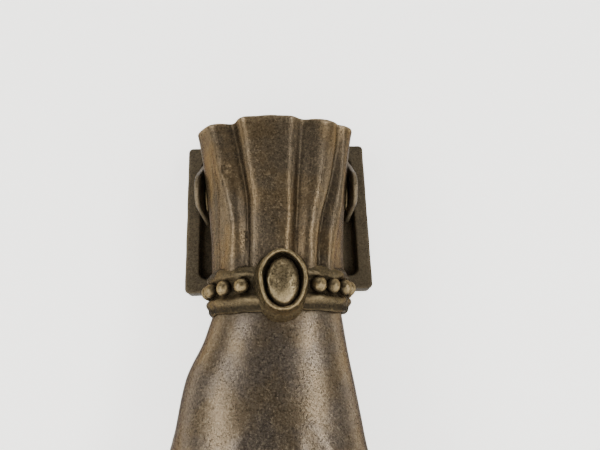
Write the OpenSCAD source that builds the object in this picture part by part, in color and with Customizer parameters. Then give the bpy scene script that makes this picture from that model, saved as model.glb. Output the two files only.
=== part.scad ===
// Door knocker: a cast bronze hand that holds a ball, hinged on a door plate, with its strike.
// Millimetres. The door's face is the XZ plane, X is to the right, -Y points out of the door
// and +Z is up. The origin is the centre of the door plate's back face.

/* [Door plate] */
// Width of the door plate
plate_w = 60; // [58:1:80]
// Height of the door plate
plate_h = 50; // [47:1:70]
// Thickness of the door plate at its border
plate_t = 7; // [6:0.5:9]
// Depth of the sunk panel, which the cuff swings into
panel_depth = 4.2; // [3:0.1:4.4]
// Width of the raised border round the sunk panel
border_w = 4.5; // [3:0.5:4.5]
// Radius of the plate's corners
plate_corner_r = 1.5; // [0.5:0.5:4]
// Radius of the tapped holes for the door bolts
tapped_hole_r = 2.5; // [1.5:0.25:3]
// Distance between the two tapped holes
tapped_hole_pitch = 26; // [22:1:30]

/* [Hinge] */
// Height of the hinge axis above the plate's centre
pin_z = 4.6; // [3:0.1:5]
// Distance of the hinge axis from the door
pin_out = 14.8; // [14.6:0.1:17]
// Radius of the hinge pin
pin_r = 3; // [2:0.25:3.5]
// Radius of each ear's round nose
ear_nose_r = 5.3; // [4.8:0.1:5.6]
// Distance from the pin out to the middle of each ear's nose
ear_nose_out = 8.4; // [6:0.1:9]
// Radius of each ear's round shoulder, above and behind the pin
ear_shoulder_r = 6.8; // [6:0.1:7.5]
// Thickness of each ear
ear_t = 1.5; // [1.2:0.1:1.8]
// Distance from the middle to the inner face of each ear
ear_inner_x = 22.4; // [22.2:0.1:22.6]
// Thickness of the washer on each side of the cuff
washer_t = 0.9; // [0.5:0.1:1.5]
// Thickness of the pin's domed heads
pin_head_h = 1.4; // [1:0.1:2]

/* [Cuff] */
// Height of the cuff's rim above the plate's centre
rim_z = 20; // [16:0.5:20]
// Half of the cuff's width where it leaves the bracelet
cuff_base_a = 18.3; // [16:0.1:18.5]
// How much wider each side is at the rim
cuff_flare = 5; // [2:0.1:5.2]
// Depth of the cuff's front, where it leaves the bracelet
cuff_base_b = 13.4; // [12.5:0.1:15]
// Depth of the cuff's front at the rim, without its folds
cuff_rim_b = 12; // [10:0.1:15]
// Thickness of the cuff's wall
cuff_wall = 3; // [2:0.25:4]
// Height of the folds at the rim, as a share of their full height
fold_share = 1; // [0.2:0.1:1.2]

/* [Bracelet] */
// Height of the bracelet's band
band_h = 8; // [6:0.5:9]
// Thickness of the bracelet's band
band_t = 1.5; // [1:0.1:2]
// Radius of one bead
bead_r = 1.9; // [1.5:0.05:2.1]
// Number of beads, from one side of the setting round to the other
bead_count = 18; // [12:1:18]
// Half of the oval setting's width
setting_a = 6; // [5.5:0.1:8]
// Half of the oval setting's height
setting_b = 7.7; // [7:0.1:10]
// Half of the stone's width
stone_a = 4; // [3:0.05:4.2]
// Half of the stone's height
stone_b = 6.05; // [5:0.05:6.2]

/* [Hand and ball] */
// Radius of the ball
ball_r = 15; // [12:0.5:15]
// Radius of the spigot that holds the hand in the cuff
spigot_r = 10.5; // [8:0.25:10.5]
// Radius of the pin that holds the ball
ball_pin_r = 2; // [1:0.25:3]
// Radius of the rivet through the spigot
rivet_r = 1.6; // [1:0.1:2.5]

/* [Strike] */
// Radius of the strike plate
strike_plate_r = 17; // [14:0.5:25]
// Thickness of the strike plate
strike_plate_t = 3; // [2:0.25:4]
// Radius of the strike button
strike_button_r = 8; // [6:0.5:11]

/* [Hidden] */
$fn = 48;
bore_fit = 0.05;      // radial running clearance of a turning pin
seat_fit = 0.05;      // clearance of parts that are fixed to each other
moving_gap = 0.3;     // gap between parts that pass each other
cut = 1;              // how far a cutting shape reaches past the face it cuts
panel_corner_r = 2.5;
floor_y = -(plate_t - panel_depth);

// Hinge
pin_y = -pin_out;
ear_outer_x = ear_inner_x + ear_t;
ear_nose_drop = 1.6;      // how far the nose's middle lies below the pin
ear_shoulder_back = 4.8;  // how far the shoulder's middle lies behind the pin
ear_shoulder_rise = 5.7;  // and above it
ear_nose = [pin_y - ear_nose_out, pin_z - ear_nose_drop];
ear_shoulder = [pin_y + ear_shoulder_back, pin_z + ear_shoulder_rise];
ear_foot_y = floor_y + 0.5; // the ear's root reaches this far into the plate
washer_outer_x = ear_inner_x - moving_gap;
boss_face_x = washer_outer_x - washer_t - 0.1;
boss_r = pin_r + 2.5;
boss_inner_x = 13.5;
pin_head_r = pin_r + 1.8;

// Bracelet's band and the collar inside it
band_top_z = -25;
band_bottom_z = band_top_z - band_h;
wrist_y = -25.6;      // the middle of the wrist, cuff and bracelet
collar_a = cuff_base_a - 0.5;
collar_b = cuff_base_b - 0.5;
collar_top_z = -13;
band_a = collar_a + seat_fit + band_t;
band_b = collar_b + seat_fit + band_t;
bead_z = band_top_z - 0.375 * band_h;
bead_turn = 2;        // the beads' gap faces a little to the right of the middle
bead_gap_angle = 30.4; // from the middle of that gap to the first bead
oval_sides = 64;
ear_arc_steps = 20;

// Setting and stone
setting_turn = 4.2;   // the setting sits a little to the right of the middle
setting_z = band_top_z - 2.3;
setting_back_y = -(collar_b + 1.1);
setting_front_y = -(band_b + 3.2);
setting_floor_y = setting_front_y + 2.2;
setting_rim_t = 1.15;
stone_h = 3.4;

// Cuff's shell: sections from the bracelet up to the rim
section_count = 12;
arc_steps = 40;
side_steps = 3;
flare_power = 1.7;    // how late the cuff flares on its way to the rim
side_tuck = 3.5;      // how far the side walls lean in towards their back edges
back_edge_y = -10;    // back edge of the side walls, below the relief
relief_from_z = rim_z - 6;
rim_back_edge_y = -18.6;
gather = 0.72;        // how close the folds stand at the bracelet, as a share of the rim's spacing
// Folds at the rim: [angle from the front, half width in degrees, height]
FOLDS = [[-50, 7, 1.3], [-20, 6, 1.5], [-4, 14, 1.2], [12, 5, 1.3], [36, 9, 1.7], [68, 6, 1.2]];

// Spigot and its rivet
spigot_top_z = collar_top_z - 1;
rivet_z = -21;
rivet_depth = 12;

// Hand: [middle x, middle y, half width, half thickness, z] down the wrist and palm
palm_step_a = 1.45;   // how far the band stands out past the wrist at its sides
palm_step_b = 1.55;   // and at its front
PALM = [[-0.6, -25.7, band_a - palm_step_a, band_b - palm_step_b, band_bottom_z - 0.1],
        [-1.4, -26.0, 19.0, 13.0, -41],
        [-2.9, -27.0, 22.0, 13.4, -53],
        [-1.9, -29.5, 23.4, 13.2, -67]];
palm_disc_h = 0.5;
// Fingers: knuckle, middle joint, end joint and tip, each [x, y, z, radius], closed round a ball
// of radius held_r whose middle is held_at; they move with the ball's surface when it changes
held_r = 15;
held_at = [-1, -24, -107];
INDEX = [[-17.5, -36.0, -84.0, 6.8], [-16.0, -44.0, -107.0, 6.0],
         [-13.5, -33.5, -119.0, 5.4], [-11.5, -22.0, -122.5, 4.6]];
MIDDLE = [[-5.3, -38.0, -87.0, 7.0], [-4.6, -45.5, -112.0, 6.2],
          [-4.2, -33.5, -124.0, 5.6], [-3.8, -21.0, -126.0, 4.8]];
RING = [[7.0, -36.5, -84.5, 6.7], [6.6, -45.0, -108.5, 6.0],
        [5.8, -34.0, -121.0, 5.4], [5.0, -21.5, -124.0, 4.6]];
LITTLE = [[18.3, -33.0, -79.0, 6.1], [17.2, -40.5, -99.0, 5.3],
          [16.0, -32.5, -111.0, 4.8], [14.2, -21.5, -119.0, 4.2]];
THUMB = [[-14.0, -24.0, -46.0, 9.0], [-21.5, -23.0, -70.0, 7.4],
         [-24.5, -24.0, -89.0, 6.4], [-20.0, -23.5, -105.0, 5.2]];
PALM_HEEL = [[-15, -26, -84, 6], [14, -26, -83, 6]];

// Ball, its pin and the strike
ball_x = -1;
ball_z = -107;
ball_back_y = -9;
ball_y = ball_back_y - ball_r;
ball_pin_top_z = ball_z + ball_r + 9;
ball_pin_depth = 10;
strike_front_y = ball_back_y + moving_gap;
strike_edge_h = 0.6 * strike_plate_t;
button_shank_r = 4.5;

function mix(from, to, share) = from + (to - from) * share;
function held(p) = let (out = [p[0], p[1], p[2]] - held_at)
    [ball_x, ball_y, ball_z] + out * (1 + (ball_r - held_r) / norm(out));
function sum_of(values, i = 0) = i < len(values) ? values[i] + sum_of(values, i + 1) : 0;

// ---- shapes that repeat ----

// A rounded plate of width w and height h, whose back face is at back_y, t thick towards -Y
module door_slab(w, h, t, r, back_y) {
    translate([0, back_y, 0]) rotate([90, 0, 0]) {
        translate([-w / 2 + r, -h / 2, 0]) cube([w - 2 * r, h, t]);
        translate([-w / 2, -h / 2 + r, 0]) cube([w, h - 2 * r, t]);
        for (x = [-1, 1], z = [-1, 1])
            translate([x * (w / 2 - r), z * (h / 2 - r), 0]) cylinder(r = r, h = t);
    }
}

// A cylinder along X on the hinge axis, from from_x to to_x
module on_hinge_axis(r, from_x, to_x) {
    translate([from_x, pin_y, pin_z]) rotate([0, 90, 0]) cylinder(r = r, h = to_x - from_x);
}

// A cylinder along Y at x and z, from back_y out to front_y
module out_of_door(r, x, z, back_y, front_y) {
    translate([x, back_y, z]) rotate([90, 0, 0]) cylinder(r = r, h = back_y - front_y);
}

// An upright oval prism of half width a and half depth b round the wrist's middle, made of flats
module wrist_oval(a, b, from_z, to_z) {
    translate([0, wrist_y, from_z]) linear_extrude(height = to_z - from_z)
        polygon([for (k = [0:oval_sides - 1])
            [a * cos(k * 360 / oval_sides), b * sin(k * 360 / oval_sides)]]);
}

// An oval prism of half width a and half height b that faces out of the door, on the setting's axis
module setting_oval(a, b, back_y, front_y) {
    translate([0, wrist_y, setting_z]) rotate([0, 0, setting_turn])
        translate([0, back_y, 0]) rotate([90, 0, 0]) scale([1, b / a, 1])
            cylinder(r = a, h = back_y - front_y);
}

// ---- door plate and hinge ----

// Points [y, z] on a circle, from one angle to another, in degrees above the +Y direction
function arc_points(middle, r, from, to) = [for (k = [0:ear_arc_steps])
    let (angle = mix(from, to, k / ear_arc_steps)) [middle[0] + r * cos(angle), middle[1] + r * sin(angle)]];

// An ear's outline: round the nose from below, up the tangent to the shoulder, and back to the plate
function ear_outline() =
    let (back = ear_shoulder - ear_nose, tilt = asin((ear_shoulder_r - ear_nose_r) / norm(back)),
         top_angle = atan2(back[1], back[0]) + tilt + 90)
    concat(arc_points(ear_nose, ear_nose_r, 270, top_angle),
           arc_points(ear_shoulder, ear_shoulder_r, top_angle, 90),
           [[ear_foot_y, ear_shoulder[1] + ear_shoulder_r], [ear_foot_y, ear_nose[1] - ear_nose_r]]);

module ear(side) {
    translate([side > 0 ? ear_inner_x : -ear_outer_x, 0, 0]) rotate([90, 0, 90])
        linear_extrude(height = ear_t) polygon(ear_outline());
}

module back_plate() {
    color([0.36, 0.32, 0.24]) difference() {
        union() {
            difference() {
                door_slab(plate_w, plate_h, plate_t, plate_corner_r, 0);
                door_slab(plate_w - 2 * border_w, plate_h - 2 * border_w, panel_depth + cut,
                          panel_corner_r, floor_y);
            }
            for (side = [-1, 1]) ear(side);
            for (side = [-1, 1])
                out_of_door(2.4 * tapped_hole_r, 0, side * tapped_hole_pitch / 2, floor_y + 0.5, -plate_t);
        }
        for (side = [-1, 1])
            out_of_door(tapped_hole_r, 0, side * tapped_hole_pitch / 2, cut, 1 - plate_t);
        on_hinge_axis(pin_r + bore_fit, -ear_outer_x - cut, ear_outer_x + cut);
    }
}

// Domed head of the pin, on the outer face of one ear
module pin_head(side) {
    dome_r = (pin_head_r * pin_head_r + pin_head_h * pin_head_h) / (2 * pin_head_h);
    translate([side * ear_outer_x, pin_y, pin_z]) rotate([0, side * 90, 0])
        intersection() {
            translate([0, 0, pin_head_h - dome_r]) sphere(r = dome_r);
            cylinder(r = pin_head_r, h = pin_head_h + cut);
        }
}

module hinge_pin() {
    color([0.42, 0.38, 0.32]) union() {
        on_hinge_axis(pin_r, -ear_outer_x, ear_outer_x);
        for (side = [-1, 1]) pin_head(side);
    }
}

module side_washers() {
    color([0.5, 0.43, 0.28]) for (side = [-1, 1]) {
        from_x = side > 0 ? washer_outer_x - washer_t : -washer_outer_x;
        difference() {
            on_hinge_axis(boss_r, from_x, from_x + washer_t);
            on_hinge_axis(pin_r + 2 * bore_fit, from_x - cut, from_x + washer_t + cut);
        }
    }
}

// ---- cuff ----

// Share of the way from the bracelet up to the rim
function section_z(share) = mix(band_top_z, rim_z, share);
function section_a(share) = cuff_base_a + cuff_flare * pow(share, flare_power);
function section_b(share) = mix(cuff_base_b, cuff_rim_b, share);

// How far the folds stand out at an angle from the front
function fold_height(angle, share) = fold_share * pow(share, 0.7) * sum_of(
    [for (f = FOLDS) f[2] * exp(-pow((angle - f[0] * mix(gather, 1, share)) / f[1], 2))]);

// Back edge of the side walls: straight, then leaning out of the swing's way near the rim
function back_edge(z) = z < relief_from_z ? back_edge_y :
    mix(back_edge_y, rim_back_edge_y, (z - relief_from_z) / (rim_z - relief_from_z));

function front_point(angle, share, inset) =
    let (out = fold_height(angle, share) * (inset > 0 ? 0.6 : 1) - inset)
    [(section_a(share) + out) * sin(angle), wrist_y - (section_b(share) + out) * cos(angle)];

function side_point(side, forward, share, inset) =
    [side * (section_a(share) - inset - side_tuck * (1 - forward)),
     mix(back_edge(section_z(share)), wrist_y, forward)];

// One wall of the section, from its left back edge round the front to its right back edge
function wall_line(share, inset) = concat(
    [for (k = [0:side_steps - 1]) side_point(-1, k / side_steps, share, inset)],
    [for (k = [0:arc_steps]) front_point(mix(-90, 90, k / arc_steps), share, inset)],
    [for (k = [side_steps - 1:-1:0]) side_point(1, k / side_steps, share, inset)]);

function reversed(line) = [for (k = [len(line) - 1:-1:0]) line[k]];

function cuff_section(share) = [for (p = concat(wall_line(share, 0), reversed(wall_line(share, cuff_wall))))
    [p[0], p[1], section_z(share)]];

module cuff_shell() {
    rings = [for (i = [0:section_count]) cuff_section(i / section_count)];
    n = len(rings[0]);
    walls = [for (i = [0:section_count - 1], k = [0:n - 1])
        let (a = i * n + k, b = i * n + (k + 1) % n)
        each [[a, b + n, b], [a, a + n, b + n]]];
    top = section_count * n;
    ends = [for (k = [0:n / 2 - 2])
        let (a = k, b = k + 1, c = n - 2 - k, d = n - 1 - k)
        each [[a, b, c], [a, c, d], [top + a, top + c, top + b], [top + a, top + d, top + c]]];
    polyhedron(points = [for (ring = rings) each ring], faces = concat(walls, ends));
}

module cuff() {
    color([0.45, 0.38, 0.28]) difference() {
        union() {
            cuff_shell();
            wrist_oval(collar_a, collar_b, band_bottom_z, collar_top_z);
            on_hinge_axis(boss_r, -boss_face_x, -boss_inner_x);
            on_hinge_axis(boss_r, boss_inner_x, boss_face_x);
        }
        on_hinge_axis(pin_r + bore_fit, -boss_face_x - cut, boss_face_x + cut);
        translate([0, wrist_y, band_bottom_z - cut])
            cylinder(r = spigot_r + seat_fit, h = collar_top_z - band_bottom_z + 2 * cut);
        out_of_door(rivet_r + seat_fit, 0, rivet_z, wrist_y + collar_b + cut, wrist_y);
    }
}

// ---- bracelet ----

module bracelet() {
    color([0.5, 0.42, 0.28]) difference() {
        union() {
            wrist_oval(band_a, band_b, band_bottom_z, band_top_z);
            for (k = [0:bead_count - 1]) {
                turn = bead_turn + mix(bead_gap_angle, 360 - bead_gap_angle, k / (bead_count - 1));
                translate([(band_a - 0.2) * sin(turn), wrist_y - (band_b - 0.2) * cos(turn), bead_z])
                    sphere(r = bead_r);
            }
        }
        wrist_oval(collar_a + seat_fit, collar_b + seat_fit, band_bottom_z - cut, band_top_z + cut);
    }
}

module bezel() {
    color([0.5, 0.42, 0.28]) difference() {
        setting_oval(setting_a, setting_b, setting_back_y, setting_front_y);
        setting_oval(setting_a - setting_rim_t, setting_b - setting_rim_t, setting_floor_y,
                     setting_front_y - cut);
        wrist_oval(band_a + seat_fit, band_b + seat_fit, band_bottom_z, band_top_z);
    }
}

// The stone is an oval dome: the cap of a ball, drawn out to an oval
module cabochon() {
    dome_r = (stone_a * stone_a + stone_h * stone_h) / (2 * stone_h);
    color([0.55, 0.48, 0.33]) translate([0, wrist_y, setting_z]) rotate([0, 0, setting_turn])
        translate([0, setting_floor_y - seat_fit, 0]) rotate([90, 0, 0])
            hull() scale([1, stone_b / stone_a, 1]) intersection() {
                translate([0, 0, stone_h - dome_r]) sphere(r = dome_r);
                cylinder(r = stone_a, h = stone_h + cut);
            }
}

// ---- hand and ball ----

module joint_ball(p) {
    translate(held(p)) sphere(r = p[3], $fn = 18);
}

module palm_disc(p) {
    translate([p[0], p[1], p[4] - palm_disc_h]) scale([1, p[3] / p[2], 1])
        cylinder(r = p[2], h = palm_disc_h);
}

module finger(joints) {
    for (k = [0:len(joints) - 2]) hull() {
        joint_ball(joints[k]);
        joint_ball(joints[k + 1]);
    }
}

module hand_shape() {
    for (k = [0:len(PALM) - 2]) hull() {
        palm_disc(PALM[k]);
        palm_disc(PALM[k + 1]);
    }
    hull() {
        palm_disc(PALM[len(PALM) - 1]);
        for (line = [INDEX, MIDDLE, RING, LITTLE]) joint_ball(line[0]);
        for (p = PALM_HEEL) joint_ball(p);
    }
    for (line = [INDEX, MIDDLE, RING, LITTLE, THUMB]) finger(line);
    translate([0, wrist_y, PALM[0][4] - 2]) cylinder(r = spigot_r, h = spigot_top_z - PALM[0][4] + 2);
}

module hand() {
    color([0.42, 0.35, 0.27]) difference() {
        hand_shape();
        translate([ball_x, ball_y, ball_z]) sphere(r = ball_r + 2 * seat_fit, $fn = 60);
        translate([ball_x, ball_y, ball_z])
            cylinder(r = ball_pin_r + seat_fit, h = ball_pin_top_z - ball_z, $fn = 24);
        out_of_door(rivet_r + seat_fit, 0, rivet_z, wrist_y + spigot_r + cut, wrist_y, $fn = 24);
    }
}

module wrist_rivet() {
    back_y = wrist_y + collar_b;
    color([0.4, 0.36, 0.3]) union() {
        out_of_door(rivet_r, 0, rivet_z, back_y, back_y - rivet_depth);
        translate([0, back_y, rivet_z]) rotate([-90, 0, 0])
            cylinder(r1 = 1.8 * rivet_r, r2 = rivet_r, h = 1);
    }
}

module ball() {
    color([0.47, 0.4, 0.28]) difference() {
        translate([ball_x, ball_y, ball_z]) sphere(r = ball_r);
        translate([ball_x, ball_y, ball_z + ball_r - ball_pin_depth])
            cylinder(r = ball_pin_r + seat_fit, h = ball_pin_depth + cut);
    }
}

module ball_pin() {
    from_z = ball_z + ball_r - ball_pin_depth + seat_fit;
    color([0.4, 0.36, 0.3]) translate([ball_x, ball_y, from_z])
        cylinder(r = ball_pin_r, h = ball_pin_top_z - seat_fit - from_z);
}

// ---- strike ----

module strike_plate() {
    color([0.36, 0.32, 0.24]) difference() {
        union() {
            out_of_door(strike_plate_r, ball_x, ball_z, 0, -strike_edge_h);
            out_of_door(strike_plate_r - 2.5, ball_x, ball_z, 0, -strike_plate_t);
        }
        out_of_door(button_shank_r + seat_fit, ball_x, ball_z, cut, -strike_plate_t - cut);
    }
}

// Domed button whose shank passes through the strike plate and is tapped from behind
module strike_button() {
    button_h = -strike_front_y - strike_plate_t;
    dome_h = 0.5 * button_h;
    dome_r = (strike_button_r * strike_button_r + dome_h * dome_h) / (2 * dome_h);
    color([0.5, 0.43, 0.28]) difference() {
        union() {
            out_of_door(button_shank_r, ball_x, ball_z, 0, -strike_plate_t - 0.5);
            translate([ball_x, -strike_plate_t, ball_z]) rotate([90, 0, 0]) intersection() {
                translate([0, 0, button_h - dome_r]) sphere(r = dome_r);
                cylinder(r = strike_button_r, h = button_h + cut);
            }
        }
        out_of_door(tapped_hole_r, ball_x, ball_z, cut, strike_front_y + 2.5);
    }
}

back_plate();
hinge_pin();
side_washers();
cuff();
bracelet();
bezel();
cabochon();
hand();
wrist_rivet();
ball();
ball_pin();
strike_plate();
strike_button();
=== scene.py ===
"""A hand door knocker in old cast bronze: door plate, fluted cuff, bracelet, hand, ball and strike.

Sizes are in millimetres in the row's frame: +X to the right, +Y into the door, +Z up, with the
origin at the centre of the door plate's back face. Meshes are turned into metres as they are made.
"""
import logging
import math
from dataclasses import dataclass
from enum import Enum
from typing import Callable, Optional

import bmesh
import bpy
import numpy as np
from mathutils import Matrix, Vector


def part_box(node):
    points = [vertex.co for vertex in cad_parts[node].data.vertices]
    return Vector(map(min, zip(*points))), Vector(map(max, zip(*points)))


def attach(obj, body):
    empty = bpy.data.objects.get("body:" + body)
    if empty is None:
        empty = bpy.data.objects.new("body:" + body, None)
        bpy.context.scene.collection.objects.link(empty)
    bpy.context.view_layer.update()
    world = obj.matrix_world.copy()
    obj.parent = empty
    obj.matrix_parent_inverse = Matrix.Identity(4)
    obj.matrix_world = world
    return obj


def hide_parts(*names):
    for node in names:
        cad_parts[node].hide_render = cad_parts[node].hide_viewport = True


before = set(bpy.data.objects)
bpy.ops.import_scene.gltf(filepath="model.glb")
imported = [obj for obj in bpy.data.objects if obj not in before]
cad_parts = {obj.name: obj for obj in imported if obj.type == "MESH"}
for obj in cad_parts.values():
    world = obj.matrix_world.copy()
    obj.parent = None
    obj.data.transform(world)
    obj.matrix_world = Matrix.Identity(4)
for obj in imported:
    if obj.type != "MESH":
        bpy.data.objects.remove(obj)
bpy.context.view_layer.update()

import openvdb

MM = 0.001
MERGE_MM = 0.002
TURN = 2 * math.pi
LOG = logging.getLogger("knocker")
Grid = np.ndarray


class Body(Enum):
    """The rigid bodies that pieces ride on."""

    DOOR = "door_side"
    KNOCKER = "knocker"


class Slot(Enum):
    """The record's material slots."""

    PLATE = "plate_bronze"
    CUFF = "cuff_bronze"
    BRACELET = "bracelet_bronze"
    STONE = "stone_bronze"
    HAND = "hand_bronze"
    BALL = "ball_bronze"
    WASHER = "washer_brass"
    STEEL = "pin_steel"


# ---------------------------------------------------------------- small helpers


def mix(start: Grid, end: Grid, share: Grid) -> Grid:
    """Straight line from start to end."""
    return start + (end - start) * share


def ease(value: Grid, low: float, high: float) -> Grid:
    """Smooth step: 0 below low, 1 above high, 3t^2 - 2t^3 between."""
    share = np.clip((value - low) / (high - low), 0.0, 1.0)
    return share * share * (3.0 - 2.0 * share)


def hump(value: Grid, width: float) -> Grid:
    """Bell curve exp(-(value / width)^2)."""
    return np.exp(-((value / width) ** 2))


def through(knots: list[tuple[float, float]], value: Grid) -> Grid:
    """Smooth curve through knots: cubic Hermite pieces whose slopes are the mean of both sides.

    Args:
        knots: (place, height) pairs, in rising order of place.
        value: Places to read the curve at.

    Returns:
        The curve's heights, constant past the first and last knot.
    """
    x, y = np.array(knots, float).T
    slopes = np.diff(y) / np.diff(x)
    tangents = np.concatenate([slopes[:1], (slopes[1:] + slopes[:-1]) / 2, slopes[-1:]])
    value = np.clip(value, x[0], x[-1])
    k = np.clip(np.searchsorted(x, value) - 1, 0, len(x) - 2)
    span = x[k + 1] - x[k]
    t = (value - x[k]) / span
    return ((2 * t**3 - 3 * t**2 + 1) * y[k] + (t**3 - 2 * t**2 + t) * span * tangents[k]
            + (3 * t**2 - 2 * t**3) * y[k + 1] + (t**3 - t**2) * span * tangents[k + 1])


def waves(points: Grid, size: float, seed: int, count: int = 9) -> Grid:
    """Slow unevenness of a sand casting: the mean of sines along random directions.

    Args:
        points: (n, 3) places in mm.
        size: Typical distance between two humps in mm.
        seed: Seed of the random directions.
        count: Number of sines.

    Returns:
        One height per point, mostly between -1 and 1.
    """
    draw = np.random.default_rng(seed)
    ways = draw.normal(size=(count, 3))
    ways *= (TURN / size) * draw.uniform(0.6, 1.5, (count, 1)) / np.linalg.norm(ways, axis=1)[:, None]
    return np.sin(points @ ways.T + draw.uniform(0, TURN, count)).sum(axis=1) * 1.6 / count


def stacked(x: Grid, y: Grid, z: Grid) -> Grid:
    """Points from three coordinate arrays that broadcast together."""
    return np.stack(np.broadcast_arrays(x, y, z), axis=-1).astype(float)


@dataclass(frozen=True)
class NodeBox:
    """The box of one CAD node, in mm."""

    low: Grid
    high: Grid

    @classmethod
    def of(cls, node: str) -> "NodeBox":
        """The box of the node with this name."""
        low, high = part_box(node)
        return cls(np.array(low) / MM, np.array(high) / MM)

    @property
    def middle(self) -> Grid:
        """The box's centre."""
        return (self.low + self.high) / 2

    @property
    def size(self) -> Grid:
        """The box's three side lengths."""
        return self.high - self.low


# ---------------------------------------------------------------- meshes


class Draft:
    """Closed surfaces gathered into one mesh, each point with two values from 0 to 1: wear and painted
    light, which lighten it, and grime and painted shade, which darken it.
    """

    def __init__(self, name: str) -> None:
        """Starts an empty mesh with this object name."""
        self.name = name
        self.points: list[Grid] = []
        self.faces: list[Grid] = []
        self.wear_and_light: list[Grid] = []
        self.grime_and_shade: list[Grid] = []
        self.count = 0

    def add(self, points: Grid, faces: Grid, wear_and_light: Grid | float = 0.0, grime_and_shade: Grid | float = 0.0) -> None:
        """Adds loose points and quads.

        Args:
            points: (n, 3) places in mm.
            faces: (m, 4) point numbers.
            wear_and_light: Where hands have rubbed the metal bright, and where light is painted on, one
                value or one per point.
            grime_and_shade: Where dirt has stayed, and where shade is painted on, one value or one per
                point.
        """
        self.points.append(points.reshape(-1, 3))
        self.faces.append(faces + self.count)
        n = points.reshape(-1, 3).shape[0]
        self.wear_and_light.append(np.broadcast_to(np.asarray(wear_and_light, float).reshape(-1), (n,)))
        self.grime_and_shade.append(np.broadcast_to(np.asarray(grime_and_shade, float).reshape(-1), (n,)))
        self.count += n

    def grid(self, points: Grid, wear_and_light: Grid | float = 0.0, grime_and_shade: Grid | float = 0.0,
             around: bool = True, along: bool = False) -> None:
        """Adds a surface on a grid of rows and columns.

        Args:
            points: (rows, columns, 3) places in mm.
            wear_and_light: Wear and painted light, one value or one per point.
            grime_and_shade: Grime and painted shade, one value or one per point.
            around: True if the last column meets the first.
            along: True if the last row meets the first.
        """
        rows, columns = points.shape[:2]
        numbers = np.arange(rows * columns).reshape(rows, columns)
        if around:
            numbers = np.concatenate([numbers, numbers[:, :1]], axis=1)
        if along:
            numbers = np.concatenate([numbers, numbers[:1]], axis=0)
        quads = np.stack([numbers[:-1, :-1], numbers[:-1, 1:], numbers[1:, 1:], numbers[1:, :-1]], axis=-1)
        wear_and_light, grime_and_shade = (np.broadcast_to(values, (rows, columns)) for values in (wear_and_light, grime_and_shade))
        self.add(points, quads.reshape(-1, 4), wear_and_light, grime_and_shade)

    def turned(self, profile: list[tuple[float, float]], place: tuple[float, float, float], axis: str,
               steps: int = 96, wear_and_light: float = 0.0, grime_and_shade: float = 0.0,
               lobes: Optional[Callable[[Grid, Grid], Grid]] = None) -> None:
        """Adds a turned shape: a profile carried round an axis.

        Args:
            profile: (radius, distance along the axis) pairs; it starts and ends on the axis, or its
                last point is joined to its first.
            place: The axis's starting point in mm.
            axis: "x", "-y" or "z", the way that distances along the axis count.
            steps: Number of steps round the axis.
            wear_and_light: Wear and painted light of the whole shape.
            grime_and_shade: Grime and painted shade of the whole shape.
            lobes: Factor on the radius, from the angle and the radius.
        """
        radius, along = np.array(profile, float).T[:, :, None]
        angle = np.linspace(0, TURN, steps, endpoint=False)[None, :]
        reach = radius * (lobes(angle, radius) if lobes else 1.0)
        across, up = reach * np.cos(angle), reach * np.sin(angle)
        along = np.broadcast_to(along, across.shape)
        if axis == "x":
            points = stacked(along, across, up)
        elif axis == "-y":
            points = stacked(across, -along, up)
        else:
            points = stacked(across, up, along)
        closed = profile[0][0] > 0
        self.grid(points + np.array(place), wear_and_light, grime_and_shade, along=closed)

    def into(self, body: Body, material: bpy.types.Material, replaces: tuple[str, ...] = (),
             casting: float = 0.0, casting_size: float = 9.0, seed: int = 1) -> bpy.types.Object:
        """Makes the Blender object, in metres at the origin, and hangs it on its body.

        Args:
            body: The rigid body it rides on.
            material: Its material.
            replaces: CAD nodes that it stands for.
            casting: Height in mm of the casting's slow unevenness, added along the normals.
            casting_size: Distance in mm between two of its humps.
            seed: Seed of the unevenness.

        Returns:
            The new object.
        """
        points = np.concatenate(self.points)
        mesh = bpy.data.meshes.new(self.name)
        mesh.from_pydata((points * MM).tolist(), [], np.concatenate(self.faces).tolist())
        for label, values in (("wear_and_light", self.wear_and_light), ("grime_and_shade", self.grime_and_shade)):
            layer = mesh.attributes.new(label, "FLOAT", "POINT")
            layer.data.foreach_set("value", np.concatenate(values).astype(np.float32))
        work = bmesh.new()
        work.from_mesh(mesh)
        bmesh.ops.remove_doubles(work, verts=work.verts, dist=MERGE_MM * MM)
        bmesh.ops.recalc_face_normals(work, faces=work.faces)
        work.to_mesh(mesh)
        work.free()
        mesh.shade_smooth()
        if casting:
            places = np.empty(len(mesh.vertices) * 3, np.float32)
            normals = np.empty_like(places)
            mesh.vertices.foreach_get("co", places)
            mesh.vertices.foreach_get("normal", normals)
            places, normals = places.reshape(-1, 3), normals.reshape(-1, 3)
            lift = casting * MM * waves(places / MM, casting_size, seed)
            mesh.vertices.foreach_set("co", (places + normals * lift[:, None]).astype(np.float32).ravel())
            mesh.update()
        thing = bpy.data.objects.new(self.name, mesh)
        bpy.context.scene.collection.objects.link(thing)
        mesh.materials.append(material)
        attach(thing, body.value)
        if replaces:
            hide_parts(*replaces)
        LOG.info("%s: %d faces on %s", self.name, len(mesh.polygons), body.value)
        return thing


# ---------------------------------------------------------------- finishes


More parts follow.
